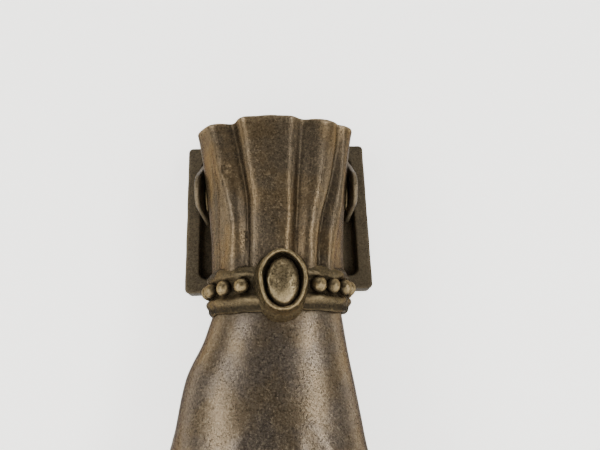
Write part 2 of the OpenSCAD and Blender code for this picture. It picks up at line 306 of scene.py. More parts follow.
class Nodes:
    """Short calls that add nodes to one material and link them."""

    def __init__(self, material: bpy.types.Material) -> None:
        """Works in the tree of this material."""
        material.use_nodes = True
        self.tree = material.node_tree
        self.shader = self.tree.nodes["Principled BSDF"]

    def add(self, kind: str, settings: Optional[dict] = None, **inputs: object) -> bpy.types.Node:
        """Adds a node.

        Args:
            kind: The node's type name.
            settings: Properties of the node itself.
            **inputs: Values or linked outputs for its sockets, by socket name, spaces as underscores.

        Returns:
            The node.
        """
        node = self.tree.nodes.new(kind)
        for label, value in (settings or {}).items():
            setattr(node, label, value)
        for label, value in inputs.items():
            self.plug(node.inputs[label.replace("_", " ")], value)
        return node

    def plug(self, socket: bpy.types.NodeSocket, value: object) -> None:
        """Links an output to a socket, or sets the socket's own value."""
        if isinstance(value, bpy.types.NodeSocket):
            self.tree.links.new(value, socket)
        else:
            socket.default_value = value

    def noise(self, where: object, scale: float, detail: float = 3.0, roughness: float = 0.55) -> object:
        """A noise from 0 to 1; scale counts its cells per metre."""
        return self.add("ShaderNodeTexNoise", Vector=where, Scale=scale, Detail=detail,
                        Roughness=roughness).outputs["Fac"]

    def band(self, value: object, low: float, high: float, start: float = 0.0, end: float = 1.0) -> object:
        """Maps low..high to start..end with smooth ends."""
        node = self.add("ShaderNodeMapRange", {"interpolation_type": "SMOOTHSTEP"})
        for label, number in (("Value", value), ("From Min", low), ("From Max", high),
                              ("To Min", start), ("To Max", end)):
            self.plug(node.inputs[label], number)
        return node.outputs["Result"]

    def math(self, operation: str, first: object, second: object = 0.0, clamp: bool = False) -> object:
        """One Math node."""
        node = self.add("ShaderNodeMath", {"operation": operation, "use_clamp": clamp})
        self.plug(node.inputs[0], first)
        self.plug(node.inputs[1], second)
        return node.outputs[0]

    def blend(self, share: object, first: object, second: object) -> object:
        """Mixes two colours."""
        node = self.add("ShaderNodeMix", {"data_type": "RGBA"})
        self.plug(node.inputs["Factor"], share)
        self.plug(node.inputs["A"], first)
        self.plug(node.inputs["B"], second)
        return node.outputs["Result"]

    def attribute(self, name: str) -> object:
        """A value painted on the mesh's points."""
        return self.add("ShaderNodeAttribute", {"attribute_name": name}).outputs["Fac"]


@dataclass(frozen=True)
class OldMetal:
    """A cast metal with its age on it.

    The body colour drifts between two browns, turns to the worn_and_lit colour where the mesh's
    wear_and_light value says so, for wear and for painted light, and to the grime_and_shade colour where its
    grime_and_shade value says so, for grime and for painted shade, and small pits are darker and deeper.
    """

    name: str
    body: tuple[float, float, float]
    drift: tuple[float, float, float]
    # worn_and_lit: the colour of worn bright metal, also laid on as painted light.
    worn_and_lit: tuple[float, float, float]
    # grime_and_shade: the colour of grime, also laid on as painted shade.
    grime_and_shade: tuple[float, float, float] = (0.018, 0.014, 0.009)
    roughness: tuple[float, float] = (0.30, 0.46)
    metallic: float = 0.88
    pit_share: float = 0.585     # the noise level above which a pit opens; lower gives more pits
    pit_scale: float = 2700.0
    grain: float = 0.015         # depth of the fine sand grain in mm
    pit_depth: float = 0.12      # depth of the pits in mm
    dents: float = 0.08          # depth of the small uneven dents in mm
    sand: float = 0.030          # depth of the coarser sand grain in mm

    def make(self) -> bpy.types.Material:
        """Builds the material from noises on Object coordinates and the two painted values."""
        material = bpy.data.materials.new(self.name)
        n = Nodes(material)
        where = n.add("ShaderNodeTexCoord").outputs["Object"]
        patches = n.noise(where, 75.0, 4.0, 0.6)
        speckle = n.noise(where, 1700.0, 3.0, 0.7)
        grain = n.noise(where, 3300.0, 2.0, 0.6)
        pits = n.band(n.noise(where, self.pit_scale, 2.0, 0.5), self.pit_share, self.pit_share + 0.10)
        clusters = n.band(n.noise(where, 140.0, 2.0, 0.5), 0.36, 0.62)
        pits = n.math("MULTIPLY", pits, clusters)
        # The mesh's wear and painted light, and its grime and painted shade, each broken up by the speckle.
        wear_and_light = n.math("MULTIPLY", n.attribute("wear_and_light"), n.band(speckle, 0.30, 0.62, 0.55, 1.0), clamp=True)
        dirt_and_shade = n.math("MULTIPLY", n.attribute("grime_and_shade"), n.band(speckle, 0.30, 0.70, 1.0, 0.75), clamp=True)
        colour = n.blend(n.band(patches, 0.40, 0.60), (*self.body, 1), (*self.drift, 1))
        colour = n.blend(n.band(speckle, 0.48, 0.68, 0.0, 0.34), colour, (*self.worn_and_lit, 1))
        specks = n.band(n.noise(where, 2200.0, 2.0, 0.6), 0.53, 0.64, 0.0, 0.5)
        colour = n.blend(wear_and_light, colour, (*self.worn_and_lit, 1))
        colour = n.blend(specks, colour, (*self.grime_and_shade, 1))
        colour = n.blend(dirt_and_shade, colour, (*self.grime_and_shade, 1))
        colour = n.blend(n.math("MULTIPLY", pits, 0.7), colour, (*self.grime_and_shade, 1))
        rough = n.band(speckle, 0.35, 0.68, self.roughness[0], self.roughness[1])
        rough = n.math("ADD", rough, n.math("MULTIPLY", dirt_and_shade, 0.25))
        rough = n.math("ADD", rough, n.math("MULTIPLY", pits, 0.25), clamp=True)
        height = n.math("MULTIPLY", n.noise(where, 330.0, 3.0, 0.5), self.dents)
        height = n.math("ADD", height, n.math("MULTIPLY", grain, self.grain))
        height = n.math("ADD", height, n.math("MULTIPLY", n.noise(where, 1500.0, 1.0, 0.5), self.sand))
        height = n.math("SUBTRACT", height, n.math("MULTIPLY", pits, self.pit_depth))
        bump = n.add("ShaderNodeBump", Height=height, Strength=1.0, Distance=MM).outputs["Normal"]
        for label, value in (("Base Color", colour), ("Roughness", rough), ("Normal", bump)):
            n.plug(n.shader.inputs[label], value)
        n.shader.inputs["Metallic"].default_value = self.metallic
        n.shader.inputs["Specular Tint"].default_value = (0.20, 0.19, 0.17, 1)
        return material


PLATE_FINISH = OldMetal("plate_patina", (0.052, 0.041, 0.025), (0.036, 0.030, 0.020), (0.16, 0.125, 0.08),
                        roughness=(0.38, 0.56), grain=0.020, dents=0.09, metallic=0.55)
CUFF_FINISH = OldMetal("cuff_patina", (0.120, 0.084, 0.046), (0.096, 0.074, 0.050), (0.34, 0.26, 0.155),
                       roughness=(0.30, 0.44), grain=0.036, dents=0.09)
BRACELET_FINISH = OldMetal("bracelet_patina", (0.105, 0.077, 0.042), (0.078, 0.061, 0.036),
                           (0.28, 0.212, 0.112),
                           roughness=(0.28, 0.44), grain=0.022, dents=0.09)
STONE_FINISH = OldMetal("stone_patina", (0.155, 0.118, 0.062), (0.12, 0.094, 0.052), (0.36, 0.275, 0.155),
                        roughness=(0.32, 0.44), grain=0.014, dents=0.10, pit_depth=0.20)
HAND_FINISH = OldMetal("hand_patina", (0.118, 0.088, 0.056), (0.102, 0.082, 0.064), (0.34, 0.28, 0.19),
                       roughness=(0.27, 0.37), grain=0.030, dents=0.035)
BALL_FINISH = OldMetal("ball_patina", (0.14, 0.105, 0.060), (0.105, 0.082, 0.050), (0.42, 0.33, 0.20),
                       roughness=(0.24, 0.38), grain=0.012, dents=0.10)
WASHER_FINISH = OldMetal("washer_brass", (0.115, 0.088, 0.048), (0.09, 0.07, 0.042), (0.24, 0.185, 0.10),
                         roughness=(0.28, 0.42), grain=0.008, dents=0.02, pit_share=0.72)
STEEL_FINISH = OldMetal("browned_steel", (0.075, 0.062, 0.050), (0.10, 0.062, 0.038), (0.26, 0.24, 0.22),
                        roughness=(0.38, 0.56), grain=0.016, dents=0.06)


# ---------------------------------------------------------------- door side


@dataclass
class DoorPlate:
    """The cast plate on the door, with its border, sunk panel, ears and two tapped bosses."""

    box: NodeBox
    pin: Grid
    thickness: float = 7.0
    border: float = 4.5
    panel_depth: float = 4.2
    corner: float = 1.5
    panel_corner: float = 2.5
    edge_round: float = 0.8
    hole_r: float = 2.5
    hole_pitch: float = 26.0
    hole_depth: float = 6.0
    ear_nose: tuple[float, float] = (-8.4, -1.6)      # middle of the nose, from the pin
    ear_shoulder: tuple[float, float] = (4.8, 5.7)    # middle of the shoulder, from the pin
    nose_r: float = 5.3
    shoulder_r: float = 6.8
    ear_inner: float = 22.4
    ear_thickness: float = 1.5
    side_steps: int = 48
    corner_steps: int = 8

    @property
    def half_w(self) -> float:
        """Half of the plate's width."""
        return self.box.size[0] / 2

    @property
    def half_h(self) -> float:
        """Half of the plate's height."""
        return self.box.size[2] / 2

    @property
    def floor_y(self) -> float:
        """The sunk panel's floor."""
        return -(self.thickness - self.panel_depth)

    def outline(self, half_w: float, half_h: float, corner: float) -> Grid:
        """A rounded rectangle in X and Z, anticlockwise from the middle of its right side.

        Each side is a straight line with evenly spaced points, and each corner a quarter circle.

        Args:
            half_w: Half of its width.
            half_h: Half of its height.
            corner: Radius of its corners.

        Returns:
            (points, 2) places.
        """
        quarter = np.linspace(0, math.pi / 2, self.corner_steps + 1)
        half_side = np.linspace(0, 1, self.side_steps // 2, endpoint=False)
        up = np.stack([np.full_like(half_side, half_w), half_side * (half_h - corner)], axis=1)
        arc = np.stack([half_w - corner + corner * np.cos(quarter),
                        half_h - corner + corner * np.sin(quarter)], axis=1)
        over = np.stack([(1 - half_side[1:]) * (half_w - corner), np.full(half_side.size - 1, half_h)],
                        axis=1)
        first = np.concatenate([up, arc, over])
        second = np.concatenate([[[0.0, half_h]], (first * [-1, 1])[::-1]])
        top = np.concatenate([first, second[:-1]])
        return np.concatenate([top, -top])

    def rings(self) -> Grid:
        """Rounded rectangles from the back edge over the border and down into the panel.

        Returns:
            (rings, points, 3) places.
        """
        bend = np.linspace(0, math.pi / 2, 7)
        back_r, front_r, lip_r, foot_r = 0.5, self.edge_round, 0.6, 1.1
        steps: list[tuple[float, float]] = []
        steps += [(-back_r * (1 - math.sin(a)), -back_r * (1 - math.cos(a))) for a in bend]
        steps += [(0.0, -self.thickness * share) for share in (0.3, 0.5, 0.7)]
        steps += [(-front_r * (1 - math.cos(a)),
                   -self.thickness + front_r * (1 - math.sin(a))) for a in bend]
        steps += [(-self.border * share, -self.thickness) for share in (0.35, 0.6)]
        lip = self.border - lip_r
        steps += [(-lip - lip_r * math.sin(a), -self.thickness + lip_r * (1 - math.cos(a))) for a in bend]
        steps += [(-self.border - 0.25, self.floor_y - foot_r)]
        steps += [(-self.border - 0.3 - foot_r * (1 - math.cos(a)),
                   self.floor_y - foot_r * (1 - math.sin(a)))
                  for a in bend]
        rings = []
        for inset, y in steps:
            share = min(max(-inset / self.border, 0.0), 1.0)
            corner = max(mix(self.corner, self.panel_corner, share), 0.4)
            x, z = self.outline(self.half_w + inset, self.half_h + inset, corner).T
            rings.append(stacked(x, y, z))
        last = rings[-1]
        middle = np.array([0.0, self.floor_y, 0.0])
        rings += [middle + (last - middle) * scale for scale in np.linspace(1, 0, 26)[1:]]
        return np.array(rings)

    def back_half(self, ring: Grid, side: int) -> tuple[Grid, Grid]:
        """The upper or lower half of the back face, a polar grid from its hole to its outline.

        Args:
            ring: The plate's back outline.
            side: 1 for the upper half, -1 for the lower.

        Returns:
            The grid of the half face and the points of the hole's mouth.
        """
        half = ring[: ring.shape[0] // 2 + 1] if side > 0 else np.concatenate([ring[ring.shape[0] // 2:],
                                                                               ring[:1]])
        across = np.linspace(half[-1, 0], half[0, 0], self.side_steps + 1)[1:-1]
        line = stacked(across, ring[0, 1], 0.0)
        outline = np.concatenate([half, line])
        centre = np.array([0.0, 0.0, side * self.hole_pitch / 2])
        angle = np.arctan2(outline[:, 2] - centre[2], outline[:, 0] - centre[0])
        mouth = centre + self.hole_r * stacked(np.cos(angle), 0.0, np.sin(angle))
        shares = np.linspace(0, 1, 14)[:, None, None] ** 1.4
        return mix(mouth[None], outline[None], shares), mouth

    def hole(self, mouth: Grid, side: int) -> Grid:
        """A tapped hole: its wall with a helical thread, then a drilled cone.

        The radius is the hole's, plus a triangle wave of the depth less the turn angle.

        Args:
            mouth: The points of its mouth.
            side: 1 for the upper hole, -1 for the lower.

        Returns:
            The grid from mouth to tip.
        """
        centre = np.array([0.0, 0.0, side * self.hole_pitch / 2])
        angle = np.arctan2(mouth[:, 2] - centre[2], mouth[:, 0] - centre[0])[None, :]
        depth = np.linspace(0, self.hole_depth - 1.0, 72)[:, None]
        phase = (depth / 1.0 - angle / TURN) % 1.0
        thread = 0.28 * (1 - np.abs(2 * phase - 1)) * ease(depth, 0.0, 0.6)
        radius = self.hole_r + thread - 0.28 * ease(depth, 0.0, 0.8)
        wall = stacked(radius * np.cos(angle), -depth, radius * np.sin(angle)) + centre
        tip = centre + np.array([0.0, -self.hole_depth, 0.0])
        cone = mix(wall[-1][None], tip, np.linspace(0, 1, 6)[1:, None, None])
        return np.concatenate([wall, cone])

    def ear_outline(self) -> Grid:
        """Points y, z round an ear: its nose, the tangent up to its shoulder, and its root in the panel."""
        nose, shoulder = self.pin[1:] + np.array(self.ear_nose), self.pin[1:] + np.array(self.ear_shoulder)
        back = shoulder - nose
        tilt = math.asin((self.shoulder_r - self.nose_r) / np.linalg.norm(back))
        top = math.atan2(back[1], back[0]) + tilt + math.pi / 2
        round_nose, round_top = np.linspace(1.5 * math.pi, top, 44)[:, None], np.linspace(top, math.pi / 2,
                                                                                          20)[:, None]
        foot = self.floor_y + 0.6
        arcs = [nose + self.nose_r * np.hstack([np.cos(round_nose), np.sin(round_nose)]),
                shoulder + self.shoulder_r * np.hstack([np.cos(round_top), np.sin(round_top)]),
                np.array([[foot, shoulder[1] + self.shoulder_r], [foot, nose[1] - self.nose_r]])]
        corners = np.concatenate(arcs + [arcs[0][:1]])
        place = np.concatenate([[0], np.cumsum(np.linalg.norm(np.diff(corners, axis=0), axis=1))])
        even = np.linspace(0, place[-1], 220, endpoint=False)
        return np.stack([np.interp(even, place, corners[:, k]) for k in (0, 1)], axis=1)

    def ear(self, side: int) -> tuple[Grid, Grid]:
        """One ear: a tongue with a thin rounded rim, thicker where it grows out of the panel's floor.

        Rows run from the middle of the inner face out to the rim, round it and back to the middle
        of the outer face. Each row is the outline moved inwards along its normals near the rim, and
        drawn in towards the middle further in.

        Args:
            side: 1 for the right ear, -1 for the left.

        Returns:
            The grid and its wear_and_light: a worn rim that also stands for the rim's edge highlight, and
                painted light on the inner face.
        """
        outline = self.ear_outline()
        step = np.roll(outline, -1, axis=0) - np.roll(outline, 1, axis=0)
        inward = np.stack([step[:, 1], -step[:, 0]], axis=1) / np.linalg.norm(step, axis=1, keepdims=True)
        middle = np.array([self.pin[1], self.pin[2]])
        inward *= np.sign(((middle - outline) * inward).sum(axis=1).mean())
        bend = np.linspace(0, math.pi / 2, 8)[:, None, None]
        edge, thick = self.ear_thickness * 0.42, self.ear_thickness
        rim_in = outline + inward * edge * (1 - np.sin(bend))
        rim_out = outline + inward * edge * (1 - np.cos(bend))
        face = middle + (outline + inward * edge - middle) * np.linspace(0, 1, 18)[:-1, None, None]
        rows = np.concatenate([face, rim_in, rim_out, face[::-1]])
        ones = np.ones(17)
        depth = np.concatenate([0 * ones, edge * (1 - np.cos(bend[:, 0, 0])),
                                thick - edge * (1 - np.sin(bend[:, 0, 0])), thick * ones])[:, None]
        flare = 1.3 * hump(np.maximum(self.floor_y - rows[..., 0], 0.0), 1.6)
        x = side * (self.ear_inner + thick / 2 + (depth - thick / 2) * (1 + flare))
        # Worn bright round the rim, also standing for its painted edge highlight; painted light over the
        # whole inner face.
        wear_and_light = np.broadcast_to(np.maximum(hump(depth - thick / 2, thick * 0.4), 0.55 * (depth < thick / 2)),
                              x.shape)
        return stacked(x, rows[..., 0], rows[..., 1]), wear_and_light

    def build(self, material: bpy.types.Material) -> None:
        """Builds the plate with its ears and bosses as one casting."""
        draft = Draft("door_plate")
        rings = self.rings()
        y = rings[..., 1]
        border = hump(y + self.thickness, 0.5)
        # Painted shade along the foot of the sunk panel's walls, near its sides and ends.
        corner_shade = hump(y - self.floor_y, 1.2) * ease(np.abs(rings[..., 0]), self.half_w - 12,
                                                         self.half_w - 5)
        corner_shade = np.maximum(corner_shade, hump(y - self.floor_y, 1.2)
                                 * ease(np.abs(rings[..., 2]), self.half_h - 12, self.half_h - 5))
        # Painted light: the sunk panel's floor is lightened.
        floor = hump(y - self.floor_y, 0.8)
        # Painted shade: the plate darkens towards its right side and towards its bottom, except on the sunk
        # panel's floor.
        side_shade = 0.30 * ease(rings[..., 0], 5.0, 30.0) + 0.22 * ease(-rings[..., 2], 15.0, 25.0)
        draft.grid(rings, wear_and_light=np.clip(0.40 * border + 0.6 * floor, 0, 1),
                   grime_and_shade=np.clip(0.15 + 0.4 * corner_shade - 0.15 * border + side_shade * (1 - floor), 0, 1))
        for side in (1, -1):
            face, mouth = self.back_half(rings[0], side)
            draft.grid(face)
            draft.grid(self.hole(mouth, side), grime_and_shade=0.6)
        for side in (1, -1):
            points, wear_and_light = self.ear(side)
            # Painted shade: each ear darkens towards its root in the sunk panel.
            draft.grid(points, wear_and_light=wear_and_light, grime_and_shade=0.45 * ease(points[..., 1], -12.0, self.floor_y))
            boss_r, lift = 2.4 * self.hole_r, self.panel_depth
            draft.turned([(0, lift), (boss_r - 0.8, lift), (boss_r - 0.25, lift - 0.25),
                          (boss_r, lift - 0.9),
                          (boss_r, 0.8), (boss_r + 1.0, -0.4), (0, -0.6)],
                         (0.0, self.floor_y, side * self.hole_pitch / 2), "-y", grime_and_shade=0.4)
        draft.into(Body.DOOR, material, ("back_plate",), casting=0.10, casting_size=7.0, seed=3)


@dataclass
class Hinge:
    """The hinge pin with its peened heads, and the two washers beside the cuff."""

    pin: Grid
    pin_box: NodeBox
    washer_box: NodeBox
    pin_r: float = 3.0
    head_h: float = 1.4
    washer_t: float = 0.9

    def build(self, steel: bpy.types.Material, brass: bpy.types.Material) -> None:
        """Builds the pin and the washers."""
        left, right = self.pin_box.low[0], self.pin_box.high[0]
        head_r = self.pin_box.size[2] / 2
        dome = np.linspace(0, math.pi / 2, 14)
        head = [(head_r * math.sin(a), left + self.head_h * (1 - math.cos(a)) * 0.9) for a in dome]
        under = left + self.head_h
        half = head + [(head_r - 0.15, under - 0.05), (self.pin_r + 0.2, under), (self.pin_r, under + 0.3)]
        profile = half + [(radius, left + right - along) for radius, along in half[::-1]]
        draft = Draft("hinge_rod")
        draft.turned(profile, (0.0, self.pin[1], self.pin[2]), "x", wear_and_light=0.1, grime_and_shade=0.15)
        draft.into(Body.DOOR, steel, ("hinge_pin",), casting=0.06, casting_size=3.0)
        draft = Draft("hinge_washers")
        outer, bore, bevel = self.washer_box.size[2] / 2, self.pin_r + 0.1, 0.15
        for start in (self.washer_box.low[0], self.washer_box.high[0] - self.washer_t):
            end = start + self.washer_t
            draft.turned([(bore, start), (outer - bevel, start), (outer, start + bevel),
                          (outer, end - bevel),
                          (outer - bevel, end), (bore, end)], (0.0, self.pin[1], self.pin[2]), "x", wear_and_light=0.2)
        draft.into(Body.KNOCKER, brass, ("side_washers",))


@dataclass
class Strike:
    """The lobed rosette on the door and the domed button that the ball knocks on."""

    plate_box: NodeBox
    button_box: NodeBox
    lobe_count: int = 12
    lobe_depth: float = 0.035
    shank_r: float = 4.5
    hole_r: float = 2.5
    hole_depth: float = 6.0

    def lobes(self, angle: Grid, radius: Grid) -> Grid:
        """Scallops that fade towards the middle: 1 less a sharpened cosine of the angle."""
        outer = self.plate_box.size[0] / 2
        valley = np.abs(np.cos(angle * self.lobe_count / 2)) ** 0.6
        return 1.0 - self.lobe_depth * (1 - valley) * ease(radius, 0.45 * outer, outer)

    def build(self, plate: bpy.types.Material, bright: bpy.types.Material) -> None:
        """Builds the rosette and the button."""
        x, _, z = self.plate_box.middle
        outer, thick = self.plate_box.size[0] / 2, self.plate_box.size[1]
        bore = self.shank_r + 0.05
        draft = Draft("strike_rosette")
        profile = [(bore, 0.0), (outer - 0.6, 0.0), (outer - 0.1, 0.3), (outer, 0.8), (outer - 0.4, 1.4),
                   (outer - 1.2, 1.75), (outer - 2.2, 1.5), (outer - 3.0, 1.6), (outer - 3.6, 2.2),
                   (outer - 4.4, 2.55), (outer - 5.5, 2.45), (outer - 6.2, 2.7), (outer - 6.8, thick - 0.05),
                   (outer - 7.6, thick), (bore, thick)]
        draft.turned(profile, (x, 0.0, z), "-y", steps=384, wear_and_light=0.25, grime_and_shade=0.15, lobes=self.lobes)
        draft.into(Body.DOOR, plate, ("strike_plate",), casting=0.05, casting_size=5.0)
        front = self.button_box.size[1]
        button_r = self.button_box.size[0] / 2
        base = thick
        dome = np.linspace(0, math.pi / 2, 18)
        rise = front - base - 1.0
        profile = [(button_r * math.sin(a), base + 1.0 + rise * math.cos(a)) for a in dome]
        profile += [(button_r, base + 0.4), (button_r - 0.4, base), (self.shank_r, base),
                    (self.shank_r, 0.3),
                    (self.shank_r - 0.3, 0.0), (self.hole_r + 0.3, 0.0)]
        depth = np.linspace(0.3, self.hole_depth - 1.2, 40)
        profile += [(self.hole_r - 0.25 * abs(math.sin(math.pi * d)), d) for d in depth]
        profile += [(0.0, self.hole_depth)]
        draft = Draft("strike_dome")
        draft.turned(profile, (x, 0.0, z), "-y", steps=128, wear_and_light=0.45)
        draft.into(Body.DOOR, bright, ("strike_button",), casting=0.05, casting_size=4.0)


# ---------------------------------------------------------------- knocker


@dataclass(frozen=True)
class Fold:
    """One ridge or valley of the cuff, between the bracelet and the rim.

    Its path gives (height, angle) pairs, with angles in degrees from the front and positive to the
    right. Width is in degrees and lift in mm, negative for a valley, each at the bracelet, half
    way up and at the rim.
    """

    path: tuple[tuple[float, float], ...]
    width: tuple[float, float, float]
    lift: tuple[float, float, float]

    def height(self, angle: Grid, z: Grid) -> Grid:
        """A bell curve across the fold at each height: lift exp(-((angle - path) / width)^2)."""
        places = (-25.0, -2.0, 20.0)
        width = through(list(zip(places, self.width)), z)
        lift = through(list(zip(places, self.lift)), z)
        return lift * hump(angle - through(list(self.path), z), width)


@dataclass
class Cuff:
    """The fluted cuff, open at the back, with its hinge bosses and the socket for the hand."""

    box: NodeBox
    pin: Grid
    wrist_y: float = -25.6
    wall: float = 3.0
    bottom_z: float = -24.6
    base_a: float = 18.45
    base_b: float = 13.4
    rim_b: float = 12.2
    flare: float = 5.0
    flare_power: float = 1.8
    side_tuck: float = 3.4
    back_y: float = -10.0
    rim_back_y: float = -18.8
    relief_h: float = 6.5
    boss_r: float = 5.5
    boss_inner: float = 13.5
    collar_top_z: float = -13.0
    collar_bottom_z: float = -33.0
    bore_r: float = 10.5
    front_steps: int = 250
    side_steps: int = 26
    folds: tuple[Fold, ...] = (
        Fold(((-21, -40), (-15, -37), (-7.5, -37), (-1, -41), (6, -46), (18, -52)), (8, 8.5, 9),
             (0.8, 1.1, 0.5)),
        Fold(((-21, -27), (-9, -26), (-2, -26.5), (6, -30), (19, -35.5)), (4.2, 4.6, 8), (-1.1, -1.6, -2.3)),
        Fold(((-17, -18), (-8, -14.5), (-2, -15), (5, -18), (19, -21)), (7, 8, 7), (0.3, 0.4, 1.0)),
        Fold(((-20, -3), (20, -5)), (12, 14, 15), (0.45, 0.6, 1.2)),
        Fold(((-15, 6), (-11, 8.2), (1, 8.2), (10, 10.5), (19, 11.5)), (5.5, 6.5, 6), (0.5, 0.7, 0.35)),
        Fold(((-22, 15.5), (-9, 18), (1, 19.5), (19, 21.5)), (4.0, 4.8, 7), (-0.9, -1.5, -1.1)),
        Fold(((-14, 27), (-8, 30), (-2, 34), (6, 36.5), (17, 39)), (8, 9.5, 10), (0.9, 1.2, 0.5)),
        Fold(((-20, 38), (-10, 43), (2, 54), (15, 57), (19, 55)), (3.8, 4.4, 4.6), (-1.0, -1.5, -0.7)),
        Fold(((-21, 47), (-13, 54), (-2, 64), (8, 67), (20, 70)), (7, 8, 8), (0.8, 1.0, 0.4)),
        Fold(((-13, -60.5), (-2, -56.5), (10, -56)), (3.4, 3.6, 3), (-0.30, -0.35, 0.0)),
    )

    @property
    def top_z(self) -> float:
        """Height of the rim."""
        return self.box.high[2]

    def rise(self, z: Grid) -> Grid:
        """Share of the way from the bracelet up to the rim."""
        return np.clip((z - self.bottom_z) / (self.top_z - self.bottom_z), 0.0, 1.0)

    def fold_height(self, angle: Grid, z: Grid) -> Grid:
        """The folds together, a dent in the left channel and a thickened rim.

        Args:
            angle: Degrees from the front.
            z: Heights.

        Returns:
            How far the surface stands out, in mm.
        """
        total = sum(fold.height(angle, z) for fold in self.folds)
        dent = -0.9 * hump(angle + 39.5, 3.2) * hump(z - 5.6, 1.5)
        lip = 0.25 * hump(z - self.top_z, 1.2)
        return total + dent + lip

    def back_edge(self, z: Grid) -> Grid:
        """Back edge of the side walls: straight, then leaning forward near the rim."""
        return mix(self.back_y, self.rim_back_y,
                   np.clip((z - self.top_z + self.relief_h) / self.relief_h, 0, 1))

    def wall_face(self, forward: Grid, angle: Grid, z: Grid, inset: float) -> Grid:
        """One face of the wall: an ellipse in front with the folds on it, and straight sides.

        Args:
            forward: 0 at the back edges of the sides, 1 where they meet the ellipse.
            angle: Degrees from the front, held at -90 or 90 on the sides.
            z: Heights.
            inset: 0 for the outer face, or the wall's thickness for the inner one.

        Returns:
            The points.
        """
        share = self.rise(z)
        half_a = self.base_a + self.flare * share**self.flare_power
        half_b = mix(self.base_b, self.rim_b, share)
        out = self.fold_height(angle, z) * (0.5 if inset else 1.0) * ease(90 - np.abs(angle), 0, 12) - inset
        turn = np.radians(angle)
        x = (half_a + out) * np.sin(turn) - np.sign(angle) * self.side_tuck * (1 - forward) ** 1.6
        front = self.wrist_y - (half_b + out) * np.cos(turn)
        y = np.where(forward < 1, mix(self.back_edge(z), self.wrist_y, forward), front)
        return stacked(x, y, z)

    def build(self, material: bpy.types.Material) -> None:
        """Builds the wall, a closed profile of z and thickness carried from back edge to back edge."""
        sides = np.linspace(0, 1, self.side_steps, endpoint=False)
        forward = np.concatenate([sides, np.ones(self.front_steps), sides[::-1]])[:, None]
        front = np.linspace(-90, 90, self.front_steps)
        angle = np.concatenate([np.full(sides.size, -90.0), front, np.full(sides.size, 90.0)])[:, None]
        edge = 0.7
        bend = np.linspace(0, math.pi / 2, 7)[1:]
        levels = np.concatenate([np.linspace(self.bottom_z, self.top_z - edge, 130),
                                 self.top_z - edge + edge * np.sin(bend), [self.top_z, self.top_z]])
        half = np.concatenate([np.ones(130), 1 - 2 * edge / self.wall * (1 - np.cos(bend)), [0.25, 0.0]])
        z = np.concatenate([levels, levels[-2::-1], [self.bottom_z]])[None, :]
        thick = np.concatenate([half, -half[-2::-1], [0.0]])[None, :]
        outer = self.wall_face(forward, angle, z, 0.0)
        inner = self.wall_face(forward, angle, z, self.wall)
        points = mix(inner, outer, ((thick + 1) / 2)[..., None])
        fold = self.fold_height(angle, z)
        wear_and_light = np.clip(fold * 0.10 - 0.04, 0, 0.15) * (thick > 0) + 0.7 * hump(z - self.top_z, 0.8)
        # Darker in the folds' valleys, near the foot by the bracelet and over the whole inner face.
        dirt_and_shade = np.clip(-fold * 0.30, 0, 0.5) + 0.30 * hump(z - self.bottom_z - 1, 3.0) + 0.5 * (thick < 0)
        draft = Draft("cuff_shell")
        draft.grid(points, np.clip(wear_and_light, 0, 1), np.clip(dirt_and_shade, 0, 1))
        for last, before in ((0, 1), (-1, -2)):
            count = levels.size
            way = (outer[last, :count] - outer[before, :count] + inner[last, :count] - inner[before, :count])
            way = way / np.linalg.norm(way, axis=1, keepdims=True)
            draft.grid(self.rounded_end(outer[last, :count], inner[last, :count], way, half), grime_and_shade=0.2,
                       wear_and_light=0.3, around=False)
        self.collar(draft)
        face = NodeBox.of("side_washers").high[0] - 1.0
        for side in (-1, 1):
            ends = sorted((side * self.boss_inner, side * face))
            bore, bevel = 3.05, 0.4
            draft.turned([(bore, ends[0]), (self.boss_r - bevel, ends[0]), (self.boss_r, ends[0] + bevel),
                          (self.boss_r, ends[1] - bevel), (self.boss_r - bevel, ends[1]), (bore, ends[1])],
                         (0.0, self.pin[1], self.pin[2]), "x", grime_and_shade=0.3, wear_and_light=0.15)
        draft.into(Body.KNOCKER, material, ("cuff",), casting=0.08, casting_size=6.0, seed=8)

    def rounded_end(self, outer: Grid, inner: Grid, way: Grid, half: Grid) -> Grid:
        """The half-round strip that closes the wall at one back edge.

        At each height the strip runs from the outer to the inner face: the share of the thickness
        goes by cos(a) and the bulge along the wall by sin(a), for a from 0 to pi.

        Args:
            outer: The outer face's points along the edge.
            inner: The inner face's points along the edge.
            way: Unit steps out of the edge.
            half: Share of the wall's thickness that is left at each height.

        Returns:
            The strip, closed at its foot.
        """
        a = np.linspace(0, math.pi, 13)[None, :, None]
        middle, reach = ((outer + inner) / 2)[:, None], ((outer - inner) / 2 * half[:, None])[:, None]
        size = np.linalg.norm(reach, axis=2, keepdims=True)
        strip = middle + reach * np.cos(a) + way[:, None] * size * np.sin(a)
        foot = np.broadcast_to(middle[:1], strip[:1].shape)
        return np.concatenate([foot, strip])

    def collar(self, draft: Draft) -> None:
        """Adds the oval collar that the bracelet and the hand's spigot sit on."""
        ratio = self.base_b / self.base_a
        rim, mouth = self.base_a - 1.2, self.bore_r
        profile = [(mouth, self.collar_bottom_z), (rim, self.collar_bottom_z),
                   (rim, self.collar_top_z - 0.6),
                   (rim - 0.6, self.collar_top_z), (mouth + 0.5, self.collar_top_z),
                   (mouth, self.collar_top_z - 0.5)]
        draft.turned(profile, (0.0, self.wrist_y, 0.0), "z", grime_and_shade=0.55,
                     lobes=lambda a,
                     r: np.where(r > mouth + 0.6, 1 / np.hypot(np.cos(a), np.sin(a) / ratio), 1.0))


